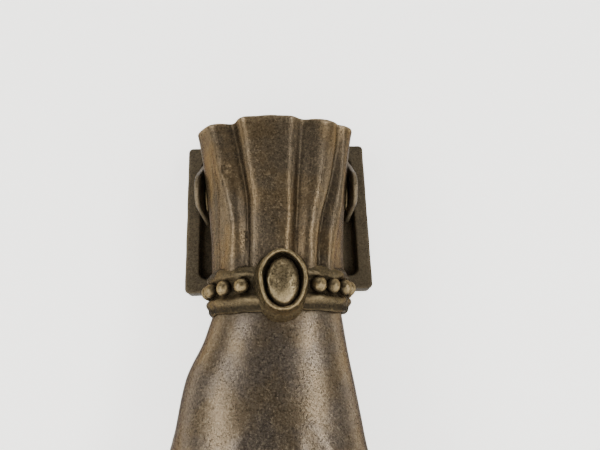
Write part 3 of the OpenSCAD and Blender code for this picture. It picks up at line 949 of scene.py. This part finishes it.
@dataclass
class Bracelet:
    """The moulded band round the wrist with its row of beads."""

    wrist_y: float = -25.6
    inner_a: float = 17.85
    inner_b: float = 12.95
    bead_z: float = -28.0
    bead_r: float = 2.05
    bead_out: float = 1.45
    front_beads: tuple[float, ...] = (32.5, 47.5, 64.5)            # degrees from the front
    left_beads: tuple[float, ...] = (-66.5, -46.4, -28.5)
    hidden_beads: int = 12
    profile: tuple[tuple[float, float], ...] = (
        (-22.7, 0.4), (-22.9, 0.8), (-23.6, 1.3), (-24.3, 1.6), (-25.0, 1.65), (-25.6, 1.4),
        (-26.2, 0.95), (-27.0, 0.75), (-28.8, 0.75), (-29.8, 0.95), (-30.4, 1.35), (-30.9, 1.8),
        (-31.5, 2.0), (-32.1, 1.85), (-32.7, 1.45), (-33.3, 1.3), (-34.0, 1.05), (-34.5, 0.65),
        (-34.6, 0.2), (-34.4, -0.3), (-33.2, -0.4), (-28.0, -0.4), (-24.0, -0.4), (-22.9, -0.1))

    def band(self, draft: Draft) -> None:
        """Adds the band: its moulded profile carried round the wrist's ellipse."""
        z, out = np.array(self.profile).T
        place = np.concatenate([[0], np.cumsum(np.hypot(np.diff(z), np.diff(out)))])
        fine = np.linspace(0, place[-1], 96)
        z, out = through(list(zip(place, z)), fine)[:, None], through(list(zip(place, out)), fine)[:, None]
        angle = np.linspace(0, TURN, 420, endpoint=False)[None, :]
        uneven = 0.16 * np.sin(7 * angle + 1.3 * z) + 0.12 * np.sin(13 * angle + 0.8)
        out = out + uneven * ease(out, 0.6, 1.6)
        z = z + 0.16 * np.sin(5 * angle + 0.4) + 0.10 * np.sin(11 * angle)
        points = stacked((self.inner_a + out) * np.sin(angle),
                         self.wrist_y - (self.inner_b + out) * np.cos(angle), z)
        wear_and_light = 0.40 * ease(out, 1.6, 2.4)
        # Painted shade in the trough round the beads and under the band's lower lip.
        hollow = hump(z - self.bead_z, 1.7) * ease(out, 0.4, 0.6)
        self_shade = hump(z + 33.6, 0.9) * ease(out, 0.6, 1.0)
        draft.grid(points, wear_and_light, np.clip(0.25 + hollow + self_shade, 0, 1), along=True)

    def beads(self, draft: Draft) -> None:
        """Adds the beads: uneven nuggets, each a sphere squeezed by its own random factors."""
        first, last = self.front_beads[-1], 360 + self.left_beads[0]
        hidden = np.linspace(first, last, self.hidden_beads + 2)[1:-1]
        draw = np.random.default_rng(5)
        up = np.linspace(-math.pi / 2, math.pi / 2, 19)[:, None]
        turn = np.linspace(0, TURN, 28, endpoint=False)[None, :]
        for degrees in (*self.front_beads, *hidden, *self.left_beads):
            angle = math.radians(degrees)
            wide, deep, tall = self.bead_r * draw.uniform((0.93, 0.95, 0.92), (1.06, 1.08, 1.08))
            local = stacked(wide * np.cos(up) * np.cos(turn), deep * np.cos(up) * np.sin(turn),
                            tall * np.sin(up))
            east = np.array([math.cos(angle), math.sin(angle), 0.0])
            out = np.array([math.sin(angle), -math.cos(angle), 0.0])
            centre = np.array([(self.inner_a + self.bead_out) * math.sin(angle),
                               self.wrist_y - (self.inner_b + self.bead_out) * math.cos(angle),
                               self.bead_z + draw.uniform(-0.15, 0.15)])
            points = (centre + local[..., :1] * east + local[..., 1:2] * out
                      + local[..., 2:] * np.array([0, 0, 1.0]))
            facing = local[..., 1] / self.bead_r
            # Rubbed bright where each bead faces out; painted shade darkens the rest of it, its sides and
            # its underside against the band.
            draft.grid(points, wear_and_light=np.clip(facing * 0.6, 0, 0.5), grime_and_shade=np.clip(0.9 - facing * 1.5, 0, 1))

    def build(self, material: bpy.types.Material) -> None:
        """Builds the band with its beads."""
        draft = Draft("wrist_bracelet")
        self.band(draft)
        self.beads(draft)
        draft.into(Body.KNOCKER, material, ("bracelet",), casting=0.12, casting_size=3.2,
                   seed=21)


@dataclass
class Setting:
    """The oval setting on the bracelet and the low stone in it."""

    wrist_y: float = -25.6
    turn_deg: float = 4.2
    middle_z: float = -27.3
    # rings from the middle of its floor over the lip to its back: half width, height above and
    # below the middle, and distance out from the wrist's middle
    rings: tuple[tuple[float, float, float, float], ...] = (
        (0.0, 0.0, 0.0, 16.0), (4.3, 6.2, 6.2, 16.1), (4.75, 6.5, 6.5, 16.7), (4.9, 6.6, 6.6, 17.7),
        (5.05, 6.8, 6.8, 18.3), (5.35, 7.1, 7.1, 18.6), (5.7, 7.45, 7.45, 18.55), (5.98, 7.7, 7.75, 18.1),
        (6.1, 7.85, 7.95, 17.3), (6.3, 8.0, 8.5, 15.9), (6.7, 8.3, 9.4, 14.4), (7.3, 8.7, 10.2, 12.8),
        (7.3, 8.7, 10.2, 12.0), (0.0, 0.0, 0.0, 12.0))
    stone: tuple[tuple[float, float], ...] = (
        (0.0, 18.75), (0.2, 18.72), (0.4, 18.62), (0.6, 18.42), (0.76, 18.12), (0.88, 17.72), (0.96, 17.2),
        (1.0, 16.6), (0.97, 16.3), (0.0, 16.2))
    stone_a: float = 4.15
    stone_b: float = 6.2
    stone_drop: float = 0.4

    def place(self, across: Grid, out: Grid, up: Grid) -> Grid:
        """Points given across, outwards and up, turned about the wrist's upright axis."""
        turn = math.radians(self.turn_deg)
        x = across * math.cos(turn) + out * math.sin(turn)
        y = self.wrist_y + across * math.sin(turn) - out * math.cos(turn)
        return stacked(x, y, up + self.middle_z)

    def build(self, ring: bpy.types.Material, gem: bpy.types.Material) -> None:
        """Builds the setting and the stone, each a run of oval rings."""
        half, above, below, out = (column[:, None] for column in self.smoothed(self.rings, 66))
        angle = np.linspace(0, TURN, 180, endpoint=False)[None, :]
        share = ease(np.sin(angle), -0.6, 0.6)
        wobble = 1 + 0.012 * np.sin(3 * angle + 0.7) + 0.010 * np.sin(5 * angle)
        points = self.place(half * np.cos(angle) * wobble, out,
                            mix(below, above, share) * np.sin(angle) * wobble)
        lip = hump(out - 18.5, 0.35)
        inside = ease(5.3 - half, 0.0, 0.5)
        draft = Draft("stone_setting")
        # The lip and outside are worn brighter; painted shade darkens the inside round the stone and the
        # skirt near its foot against the band.
        draft.grid(points, np.clip(0.45 * lip + 0.15 * (1 - inside), 0, 1),
                   np.clip(0.85 * inside - lip * 0.5 + 0.5 * hump(out - 14.4, 1.0) * ease(half, 6, 6.5), 0,
                           1))
        draft.into(Body.KNOCKER, ring, ("bezel",), casting=0.10, casting_size=3.0, seed=12)
        reach, out = (column[:, None] for column in self.smoothed(self.stone, 60))
        hollow = -0.28 * hump(reach * np.cos(angle - 2.2) - 0.35, 0.3)
        points = self.place(reach * self.stone_a * np.cos(angle), out + hollow * ease(0.9 - reach, 0, 0.3),
                            reach * self.stone_b * np.sin(angle) - self.stone_drop)
        draft = Draft("stone_dome")
        # Painted highlight: the stone's edge is lighter towards its lower right; painted shade darkens its
        # rim against the setting.
        draft.grid(points, wear_and_light=np.clip(0.12 + 0.5 * ease(reach, 0.5, 0.9) * ease(np.cos(angle + 0.9), 0, 1),
                                       0, 1),
                   grime_and_shade=0.8 * ease(reach, 0.88, 1.0))
        draft.into(Body.KNOCKER, gem, ("cabochon",), casting=0.14, casting_size=3.0, seed=14)

    @staticmethod
    def smoothed(knots: tuple[tuple[float, ...], ...], count: int) -> Grid:
        """Columns of a table of rings, read at even steps along a smooth curve through them."""
        table = np.array(knots, float)
        place = np.concatenate([[0], np.cumsum(np.linalg.norm(np.diff(table, axis=0), axis=1))])
        fine = np.linspace(0, place[-1], count)
        return np.array([through(list(zip(place, column)), fine) for column in table.T])


# ---------------------------------------------------------------- the hand


@dataclass(frozen=True)
class Digit:
    """A finger or thumb: knuckle, middle joint, end joint and tip, each x, y, z and radius."""

    joints: tuple[tuple[float, float, float, float], ...]

    @property
    def places(self) -> Grid:
        """The joints' centres."""
        return np.array(self.joints)[:, :3]

    @property
    def radii(self) -> Grid:
        """The joints' radii."""
        return np.array(self.joints)[:, 3]


class Block:
    """A box of evenly spaced samples of distance to a surface, negative inside."""

    def __init__(self, low: tuple[float, float, float], high: tuple[float, float, float],
                 step: float) -> None:
        """Lays out the samples."""
        self.low, self.step = np.array(low, float), step
        counts = [int((b - a) / step) + 1 for a, b in zip(low, high)]
        axes = [a + step * np.arange(n, dtype=np.float32) for a, n in zip(low, counts)]
        self.x, self.y, self.z = np.meshgrid(*axes, indexing="ij", sparse=True)
        self.value = np.full(counts, 50.0, np.float32)

    def at(self, points: Grid, values: Optional[Grid] = None) -> Grid:
        """The samples read between their places, by the straight rule in each direction.

        Args:
            points: (n, 3) places in mm.
            values: Other samples on the same places, or None for the distances.

        Returns:
            One value per point.
        """
        values = self.value if values is None else values
        spot = (points - self.low) / self.step
        spot = np.clip(spot, 0, np.array(values.shape) - 1.001)
        cell = spot.astype(int)
        f = spot - cell
        total = np.zeros(len(points))
        for corner in np.ndindex(2, 2, 2):
            share = np.prod(np.where(corner, f, 1 - f), axis=1)
            total += share * values[tuple((cell + corner).T)]
        return total

    def slope(self, points: Grid) -> Grid:
        """The distance's gradient by central differences."""
        steps = np.eye(3) * self.step * 0.75
        return np.stack([self.at(points + s) - self.at(points - s) for s in steps],
                        axis=1) / (1.5 * self.step)

    def softened(self, rounds: int) -> Grid:
        """The samples after a number of rounds of averaging with their neighbours on each axis."""
        soft = self.value.copy()
        for _ in range(rounds):
            for axis in range(3):
                soft = 0.5 * soft + 0.25 * (np.roll(soft, 1, axis) + np.roll(soft, -1, axis))
        return soft

    def surface(self) -> tuple[Grid, Grid]:
        """The zero surface as points and quads, the points pulled exactly onto it."""
        volume = openvdb.FloatGrid(50.0)
        volume.copyFromArray(self.value)
        volume.transform = openvdb.createLinearTransform(voxelSize=self.step)
        points, quads = volume.convertToQuads(0.0)
        points = np.asarray(points, float) + self.low
        for _ in range(3):
            slope = self.slope(points)
            points = points - slope * (self.at(points) / np.maximum((slope**2).sum(axis=1), 0.2))[:, None]
        return points, np.asarray(quads, int)


def soft_least(a: Grid, b: Grid, k: float) -> Grid:
    """Smooth union: min(a, b) - h^2 k / 4 with h = max(k - |a - b|, 0) / k."""
    h = np.maximum(k - np.abs(a - b), 0.0) / k
    return np.minimum(a, b) - h * h * k * 0.25


def soft_most(a: Grid, b: Grid, k: float) -> Grid:
    """Smooth intersection, the smooth union's mirror image."""
    return -soft_least(-a, -b, k)


@dataclass
class Hand:
    """The hand that holds the ball: wrist, back of the palm, thumb and four curled fingers.

    Fingers, webs and thumb run into each other and into the palm, which no single grid can follow.
    So the hand is the zero surface of a distance: ovals along the wrist and palm and tapering rods
    along the fingers, joined by smooth unions, with creases and nails cut in.
    """

    ball: Grid
    ball_r: float
    top_z: float = -33.1
    wrist_y: float = -25.6
    spigot_r: float = 10.5
    spigot_top_z: float = -14.0
    step: float = 0.56
    # sections down the wrist and palm: height, middle x and y, half width and half thickness
    sections: tuple[tuple[float, float, float, float, float], ...] = (
        (-33.0, -0.4, -25.7, 17.3, 12.5), (-36.0, -0.7, -25.8, 18.0, 12.8), (-41.4, -1.3, -26.1, 19.2, 13.0),
        (-47.5, -2.1, -26.6, 20.7, 13.2), (-53.0, -2.5, -27.2, 21.9, 13.4), (-60.0, -2.5, -28.4, 22.8, 13.5),
        (-67.0, -2.2, -29.7, 23.3, 13.3), (-75.0, -0.9, -31.0, 23.5, 12.2), (-82.0, -0.2, -32.0, 22.8, 10.3),
        (-90.0, 0.0, -33.0, 20.0, 7.5))
    index: Digit = Digit(((-17.5, -36.0, -84.0, 6.8), (-16.0, -44.0, -107.0, 6.0),
                          (-13.5, -33.5, -119.0, 5.4), (-11.5, -22.0, -122.5, 4.6)))
    middle: Digit = Digit(((-5.3, -38.0, -87.0, 7.0), (-4.6, -45.5, -112.0, 6.2),
                           (-4.2, -33.5, -124.0, 5.6), (-3.8, -21.0, -126.0, 4.8)))
    ring: Digit = Digit(((7.0, -36.5, -84.5, 6.7), (6.6, -45.0, -108.5, 6.0),
                         (5.8, -34.0, -121.0, 5.4), (5.0, -21.5, -124.0, 4.6)))
    little: Digit = Digit(((18.3, -33.0, -79.0, 6.1), (17.2, -40.5, -99.0, 5.3),
                           (16.0, -32.5, -111.0, 4.8), (14.2, -21.5, -119.0, 4.2)))
    thumb: Digit = Digit(((-14.5, -24.5, -54.0, 8.6), (-21.3, -23.0, -70.0, 7.4),
                          (-24.5, -24.0, -89.0, 6.2), (-20.5, -24.5, -104.5, 4.9)))

    def palm(self, b: Block) -> Grid:
        """Distance to the ovals: k0 (k0 - 1) / k1, where k0 = |p / s| and k1 = |p / s^2|.

        Here p is the place from the oval's middle and s its half sizes.
        """
        table = np.array(self.sections)[::-1]
        z = b.z[0, 0]
        cx, cy, a, d = (through(list(zip(table[:, 0], table[:, k])), z)[None, None, :] for k in range(1, 5))
        across, deep = (b.x - cx) / a, (b.y - cy) / d
        k0 = np.sqrt(across**2 + deep**2) + 1e-6
        k1 = np.sqrt((across / a) ** 2 + (deep / d) ** 2) + 1e-6
        side = k0 * (k0 - 1) / k1
        foot = table[0, 0] - b.z
        return soft_most(side, foot, 7.0)

    @staticmethod
    def rod(b: Block, start: Grid, end: Grid, r0: float, r1: float) -> Grid:
        """Distance to a round-ended rod that tapers from r0 to r1."""
        way = end - start
        h = np.clip(((b.x - start[0]) * way[0] + (b.y - start[1]) * way[1] + (b.z - start[2]) * way[2])
                    / (way @ way), 0, 1)
        gap = np.sqrt((b.x - start[0] - h * way[0]) ** 2 + (b.y - start[1] - h * way[1]) ** 2
                      + (b.z - start[2] - h * way[2]) ** 2)
        waist = 1 - 0.07 * np.sin(math.pi * h)
        return gap - mix(r0, r1, h) * waist

    def digit(self, b: Block, digit: Digit) -> Grid:
        """Distance to one finger or the thumb, with swollen joints, creases and its nail."""
        places, radii = digit.places, digit.radii
        total = None
        for k in range(len(radii) - 1):
            rod = self.rod(b, places[k], places[k + 1], radii[k], radii[k + 1])
            total = rod if total is None else soft_least(total, rod, 1.5)
        for k in (1, 2):
            total = total + self.creases(b, digit, k)
        return self.nail(b, digit, total)

    def outward(self, place: Grid, way: Grid) -> Grid:
        """The direction away from the ball's middle at a place, square to the finger's own way."""
        out = place - self.ball
        out = out - way * (out @ way)
        return out / np.linalg.norm(out)

    def creases(self, b: Block, digit: Digit, k: int) -> Grid:
        """Three short wrinkles across the back of a joint, as a depth to add to the distance."""
        places, radius = digit.places, digit.radii[k]
        way = places[k + 1] - places[k - 1]
        way = way / np.linalg.norm(way)
        out = self.outward(places[k], way)
        dx, dy, dz = b.x - places[k][0], b.y - places[k][1], b.z - places[k][2]
        along = dx * way[0] + dy * way[1] + dz * way[2]
        proud = dx * out[0] + dy * out[1] + dz * out[2]
        near = hump(np.sqrt(dx**2 + dy**2 + dz**2) - radius, 2.2)
        cuts = sum(depth * hump(along - offset, 0.65) for offset,
                   depth in ((-1.8, 0.16), (0.0, 0.30), (1.8, 0.16)))
        return cuts * near * ease(proud, 0.45 * radius, 0.85 * radius)

    def nail(self, b: Block, digit: Digit, skin: Grid) -> Grid:
        """Lets a flat oval nail into the outer side of the tip."""
        places = digit.places
        way = places[3] - places[2]
        way = way / np.linalg.norm(way)
        out = self.outward(places[3], way)
        side = np.cross(way, out)
        radius = digit.radii[3]
        centre = places[3] + way * 0.6 + out * (radius - 0.55)
        dx, dy, dz = b.x - centre[0], b.y - centre[1], b.z - centre[2]
        u, v, w = (dx * d[0] + dy * d[1] + dz * d[2] for d in (way, side, out))
        w = w + 0.09 * v**2
        def oval(long: float, wide: float, thick: float) -> Grid:
            """Rough distance to an ellipsoid with these half sizes."""
            return (np.sqrt((u / long) ** 2 + (v / wide) ** 2 + (w / thick) ** 2) - 1) * thick
        skin = soft_most(skin, -oval(0.95 * radius, 0.78 * radius, 1.0), 0.5)
        return soft_least(skin, oval(0.82 * radius, 0.66 * radius, 0.75), 0.15)

    def field(self) -> Block:
        """Samples the whole hand's distance."""
        b = Block((-35.0, -54.0, -133.0), (27.5, -7.5, -32.0), self.step)
        palm = self.palm(b)
        hand = soft_least(palm, self.digit(b, self.thumb), 7.0)
        fingers = None
        for digit in (self.index, self.middle, self.ring, self.little):
            one = self.digit(b, digit)
            fingers = one if fingers is None else soft_least(fingers, one, 0.9)
        hand = soft_least(hand, fingers, 5.5)
        for digit in (self.index, self.middle, self.ring, self.little):
            knuckle = digit.places[0]
            start = np.array([knuckle[0] * 0.42, -39.5, -60.0])
            h = np.clip((start[2] - b.z) / (start[2] - knuckle[2]), 0, 1)
            off = b.x - mix(start[0], knuckle[0], h)
            reach = ease(-b.z, 58.0, 74.0) * (1 - ease(-b.z, 88.0, 96.0)) * (b.y < -30)
            hand = hand - 0.55 * hump(off, 2.1) * reach
        hand = np.maximum(hand, b.z - self.top_z)
        away = np.sqrt((b.x - self.ball[0]) ** 2 + (b.y - self.ball[1]) ** 2 + (b.z - self.ball[2]) ** 2)
        b.value = np.ascontiguousarray(soft_most(hand, self.ball_r + 0.12 - away, 0.5), dtype=np.float32)
        return b

    def build(self, material: bpy.types.Material) -> None:
        """Builds the hand, with its spigot as a turned piece inside the collar."""
        b = self.field()
        points, quads = b.surface()
        curve = b.at(points, b.softened(5)) - b.at(points)
        broad = b.at(points, b.softened(30)) - b.at(points)
        wear_and_light = np.clip((curve - 0.12) * 2.6, 0, 0.45) + np.clip((broad - 0.45) * 0.5, 0, 0.3)
        # Darker in hollows: partly tarnish, partly painted shade from how hollow the surface is.
        grime_and_shade = np.clip((0.000 - curve) * 9.0, 0, 1) + 0.5 * np.clip(-broad * 1.2, 0, 1)
        # Painted shadow: a dark band round the top of the wrist, under the bracelet.
        grime_and_shade = grime_and_shade + 0.75 * hump(points[:, 2] - self.top_z, 2.2)
        draft = Draft("cast_hand")
        draft.add(points, quads, np.clip(wear_and_light, 0, 1), np.clip(grime_and_shade, 0, 1))
        draft.turned([(0, self.top_z - 1.0), (self.spigot_r, self.top_z - 1.0),
                      (self.spigot_r, self.spigot_top_z - 0.5),
                      (self.spigot_r - 0.5, self.spigot_top_z), (0, self.spigot_top_z)],
                     (0.0, self.wrist_y, 0.0), "z", grime_and_shade=0.6)
        draft.into(Body.KNOCKER, material, ("hand",), casting=0.07, casting_size=13.0, seed=30)


@dataclass
class Ball:
    """The ball in the hand, its pin and the rivet through the wrist."""

    ball: Grid
    ball_r: float
    pin_box: NodeBox
    rivet_box: NodeBox
    hole_depth: float = 10.0

    def build(self, bronze: bpy.types.Material, steel: bpy.types.Material) -> None:
        """Builds the ball, turned about its pin's hole, and both pins."""
        pin_r = self.pin_box.size[0] / 2
        hole_r = pin_r + 0.05
        mouth = math.asin(hole_r / self.ball_r)
        bend = np.linspace(mouth, math.pi, 110)
        top = self.ball_r * math.cos(mouth)
        profile = [(0.0, self.ball_r - self.hole_depth), (hole_r, self.ball_r - self.hole_depth),
                   (hole_r, top - 0.2)]
        profile += [(self.ball_r * math.sin(a), self.ball_r * math.cos(a)) for a in bend[:-1]]
        profile += [(0.0, -self.ball_r)]
        draft = Draft("knocking_ball")
        draft.turned(profile, tuple(self.ball), "z", steps=220, wear_and_light=0.35, grime_and_shade=0.0)
        draft.into(Body.KNOCKER, bronze, ("ball",), casting=0.14, casting_size=5.0, seed=41)
        low, high = self.pin_box.low[2], self.pin_box.high[2]
        draft = Draft("ball_dowel")
        draft.turned([(0, low), (pin_r - 0.3, low), (pin_r, low + 0.3), (pin_r, high - 0.3),
                      (pin_r - 0.3, high),
                      (0, high)], (self.ball[0], self.ball[1], 0.0), "z", steps=64)
        draft.into(Body.KNOCKER, steel, ("ball_pin",))
        x, _, z = self.rivet_box.middle
        back, length = self.rivet_box.high[1], self.rivet_box.size[1]
        head, shank = self.rivet_box.size[0] / 2, self.rivet_box.size[0] / 3.6
        draft = Draft("wrist_rivet_peened")
        draft.turned([(0, 0.0), (head * 0.35, 0.06), (head * 0.65, 0.28), (head * 0.88, 0.6),
                      (head * 0.98, 0.92),
                      (head * 0.96, 1.0), (shank, 1.0), (shank, length - 0.3), (shank - 0.3, length),
                      (0, length)],
                     (x, back, z), "-y", steps=64, wear_and_light=0.2)
        draft.into(Body.KNOCKER, steel, ("wrist_rivet",), casting=0.05, casting_size=2.5)


# ---------------------------------------------------------------- stage


@dataclass(frozen=True)
class SoftLight:
    """A large rectangular lamp, placed by its bearing from the front and aimed at a point."""

    name: str
    azimuth: float       # degrees from straight in front, positive to the right
    elevation: float
    distance: float      # metres
    width: float
    height: float
    watts: float
    colour: tuple[float, float, float] = (1.0, 1.0, 1.0)

    def place(self, aim: Grid) -> None:
        """Adds the lamp.

        Args:
            aim: The point it faces, in metres.
        """
        lamp = bpy.data.lights.new(self.name, "AREA")
        lamp.shape, lamp.size, lamp.size_y = "RECTANGLE", self.width, self.height
        lamp.energy, lamp.color = self.watts, self.colour
        thing = bpy.data.objects.new(self.name, lamp)
        bpy.context.scene.collection.objects.link(thing)
        turn, lift = math.radians(self.azimuth), math.radians(self.elevation)
        away = np.array([math.sin(turn) * math.cos(lift), -math.cos(turn) * math.cos(lift), math.sin(lift)])
        thing.location = aim + away * self.distance
        thing.rotation_euler = (math.pi / 2 - lift, 0.0, turn)


@dataclass
class Stage:
    """The pale sheet behind, the floor, the lamps and the camera."""

    aim: tuple[float, float, float] = (0.0, -0.025, -0.03)
    sheet_y: float = 0.0006
    floor_z: float = -0.25
    lamps: tuple[SoftLight, ...] = (
        SoftLight("left_window", -48.0, 7.0, 0.9, 0.32, 0.55, 4.0),
        SoftLight("right_window", 42.0, 8.0, 0.9, 0.18, 0.55, 4.0),
        SoftLight("over_head", 5.0, 74.0, 1.0, 0.8, 0.5, 3.0),
    )

    def cloth(self) -> bpy.types.Material:
        """A matt pale material that is only there from its front."""
        material = bpy.data.materials.new("pale_sheet")
        n = Nodes(material)
        n.shader.inputs["Base Color"].default_value = (0.80, 0.795, 0.775, 1)
        n.shader.inputs["Roughness"].default_value = 0.9
        n.shader.inputs["Specular IOR Level"].default_value = 0.1
        n.shader.inputs["Emission Color"].default_value = (1.0, 0.985, 0.95, 1)
        n.shader.inputs["Emission Strength"].default_value = 1.6
        back = n.add("ShaderNodeNewGeometry").outputs["Backfacing"]
        clear = n.add("ShaderNodeBsdfTransparent").outputs["BSDF"]
        both = n.add("ShaderNodeMixShader")
        n.plug(both.inputs[0], back)
        n.plug(both.inputs[1], n.shader.outputs["BSDF"])
        n.plug(both.inputs[2], clear)
        n.plug(n.tree.nodes["Material Output"].inputs["Surface"], both.outputs[0])
        return material

    def sheet(self, name: str, corners: Grid, material: bpy.types.Material) -> None:
        """Adds one flat rectangle of the stage."""
        mesh = bpy.data.meshes.new(name)
        mesh.from_pydata(corners.tolist(), [], [(0, 1, 2, 3)])
        mesh.materials.append(material)
        thing = bpy.data.objects.new(name, mesh)
        bpy.context.scene.collection.objects.link(thing)

    def world(self) -> None:
        """A pale surround: as seen it is even, and as light it is dim in front and brighter behind."""
        world = bpy.data.worlds.new("room")
        bpy.context.scene.world = world
        world.use_nodes = True
        tree = world.node_tree
        ground = tree.nodes["Background"]
        seen = tree.nodes.new("ShaderNodeBackground")
        seen.inputs["Color"].default_value = (0.80, 0.795, 0.775, 1)
        where = tree.nodes.new("ShaderNodeTexCoord")
        split = tree.nodes.new("ShaderNodeSeparateXYZ")
        ramp = tree.nodes.new("ShaderNodeMapRange")
        for label, number in (("From Min", -0.7), ("From Max", 0.4), ("To Min", 0.17), ("To Max", 0.60)):
            ramp.inputs[label].default_value = number
        tree.links.new(where.outputs["Generated"], split.inputs[0])
        tree.links.new(split.outputs["Y"], ramp.inputs["Value"])
        tree.links.new(ramp.outputs["Result"], ground.inputs["Strength"])
        ground.inputs["Color"].default_value = (1.0, 0.985, 0.95, 1)
        path = tree.nodes.new("ShaderNodeLightPath")
        both = tree.nodes.new("ShaderNodeMixShader")
        tree.links.new(path.outputs["Is Camera Ray"], both.inputs[0])
        tree.links.new(ground.outputs[0], both.inputs[1])
        tree.links.new(seen.outputs[0], both.inputs[2])
        tree.links.new(both.outputs[0], tree.nodes["World Output"].inputs["Surface"])

    def camera(self) -> None:
        """Adds the camera, a little below the plate and close in front of the bracelet."""
        lens = bpy.data.cameras.new("camera")
        lens.lens, lens.sensor_width = 29.1, 36.0
        lens.clip_start = 0.005
        thing = bpy.data.objects.new("camera", lens)
        bpy.context.scene.collection.objects.link(thing)
        thing.location = (0.001448, -0.161173, -0.047165)
        thing.rotation_euler = tuple(math.radians(a) for a in (105.844, 1.948, -1.624))
        bpy.context.scene.camera = thing

    def build(self) -> None:
        """Builds everything round the object."""
        pale = self.cloth()
        y, z = self.sheet_y, self.floor_z
        self.sheet("sheet_behind", np.array([(-1.5, y, z), (1.5, y, z), (1.5, y, 1.5), (-1.5, y, 1.5)]),
                   pale)
        self.sheet("floor", np.array([(-1.5, -1.5, z), (1.5, -1.5, z), (1.5, 1.5, z), (-1.5, 1.5, z)]), pale)
        for lamp in self.lamps:
            lamp.place(np.array(self.aim))
        self.world()
        self.camera()


def main() -> None:
    """Builds every piece, then the stage."""
    logging.basicConfig(level=logging.INFO, format="%(name)s: %(message)s")
    pin_box = NodeBox.of("hinge_pin")
    pin = pin_box.middle
    ball_box = NodeBox.of("ball")
    ball, ball_r = ball_box.middle, ball_box.size[2] / 2
    plate, cuff, hand = PLATE_FINISH.make(), CUFF_FINISH.make(), HAND_FINISH.make()
    bracelet, stone, bronze = BRACELET_FINISH.make(), STONE_FINISH.make(), BALL_FINISH.make()
    brass, steel = WASHER_FINISH.make(), STEEL_FINISH.make()
    DoorPlate(NodeBox.of("back_plate"), pin).build(plate)
    Hinge(pin, pin_box, NodeBox.of("side_washers")).build(steel, brass)
    Strike(NodeBox.of("strike_plate"), NodeBox.of("strike_button")).build(plate, bronze)
    Cuff(NodeBox.of("cuff"), pin).build(cuff)
    Bracelet().build(bracelet)
    Setting().build(bracelet, stone)
    Hand(ball, ball_r).build(hand)
    Ball(ball, ball_r, NodeBox.of("ball_pin"), NodeBox.of("wrist_rivet")).build(bronze, steel)
    Stage().build()


if __name__ == "__main__":
    main()
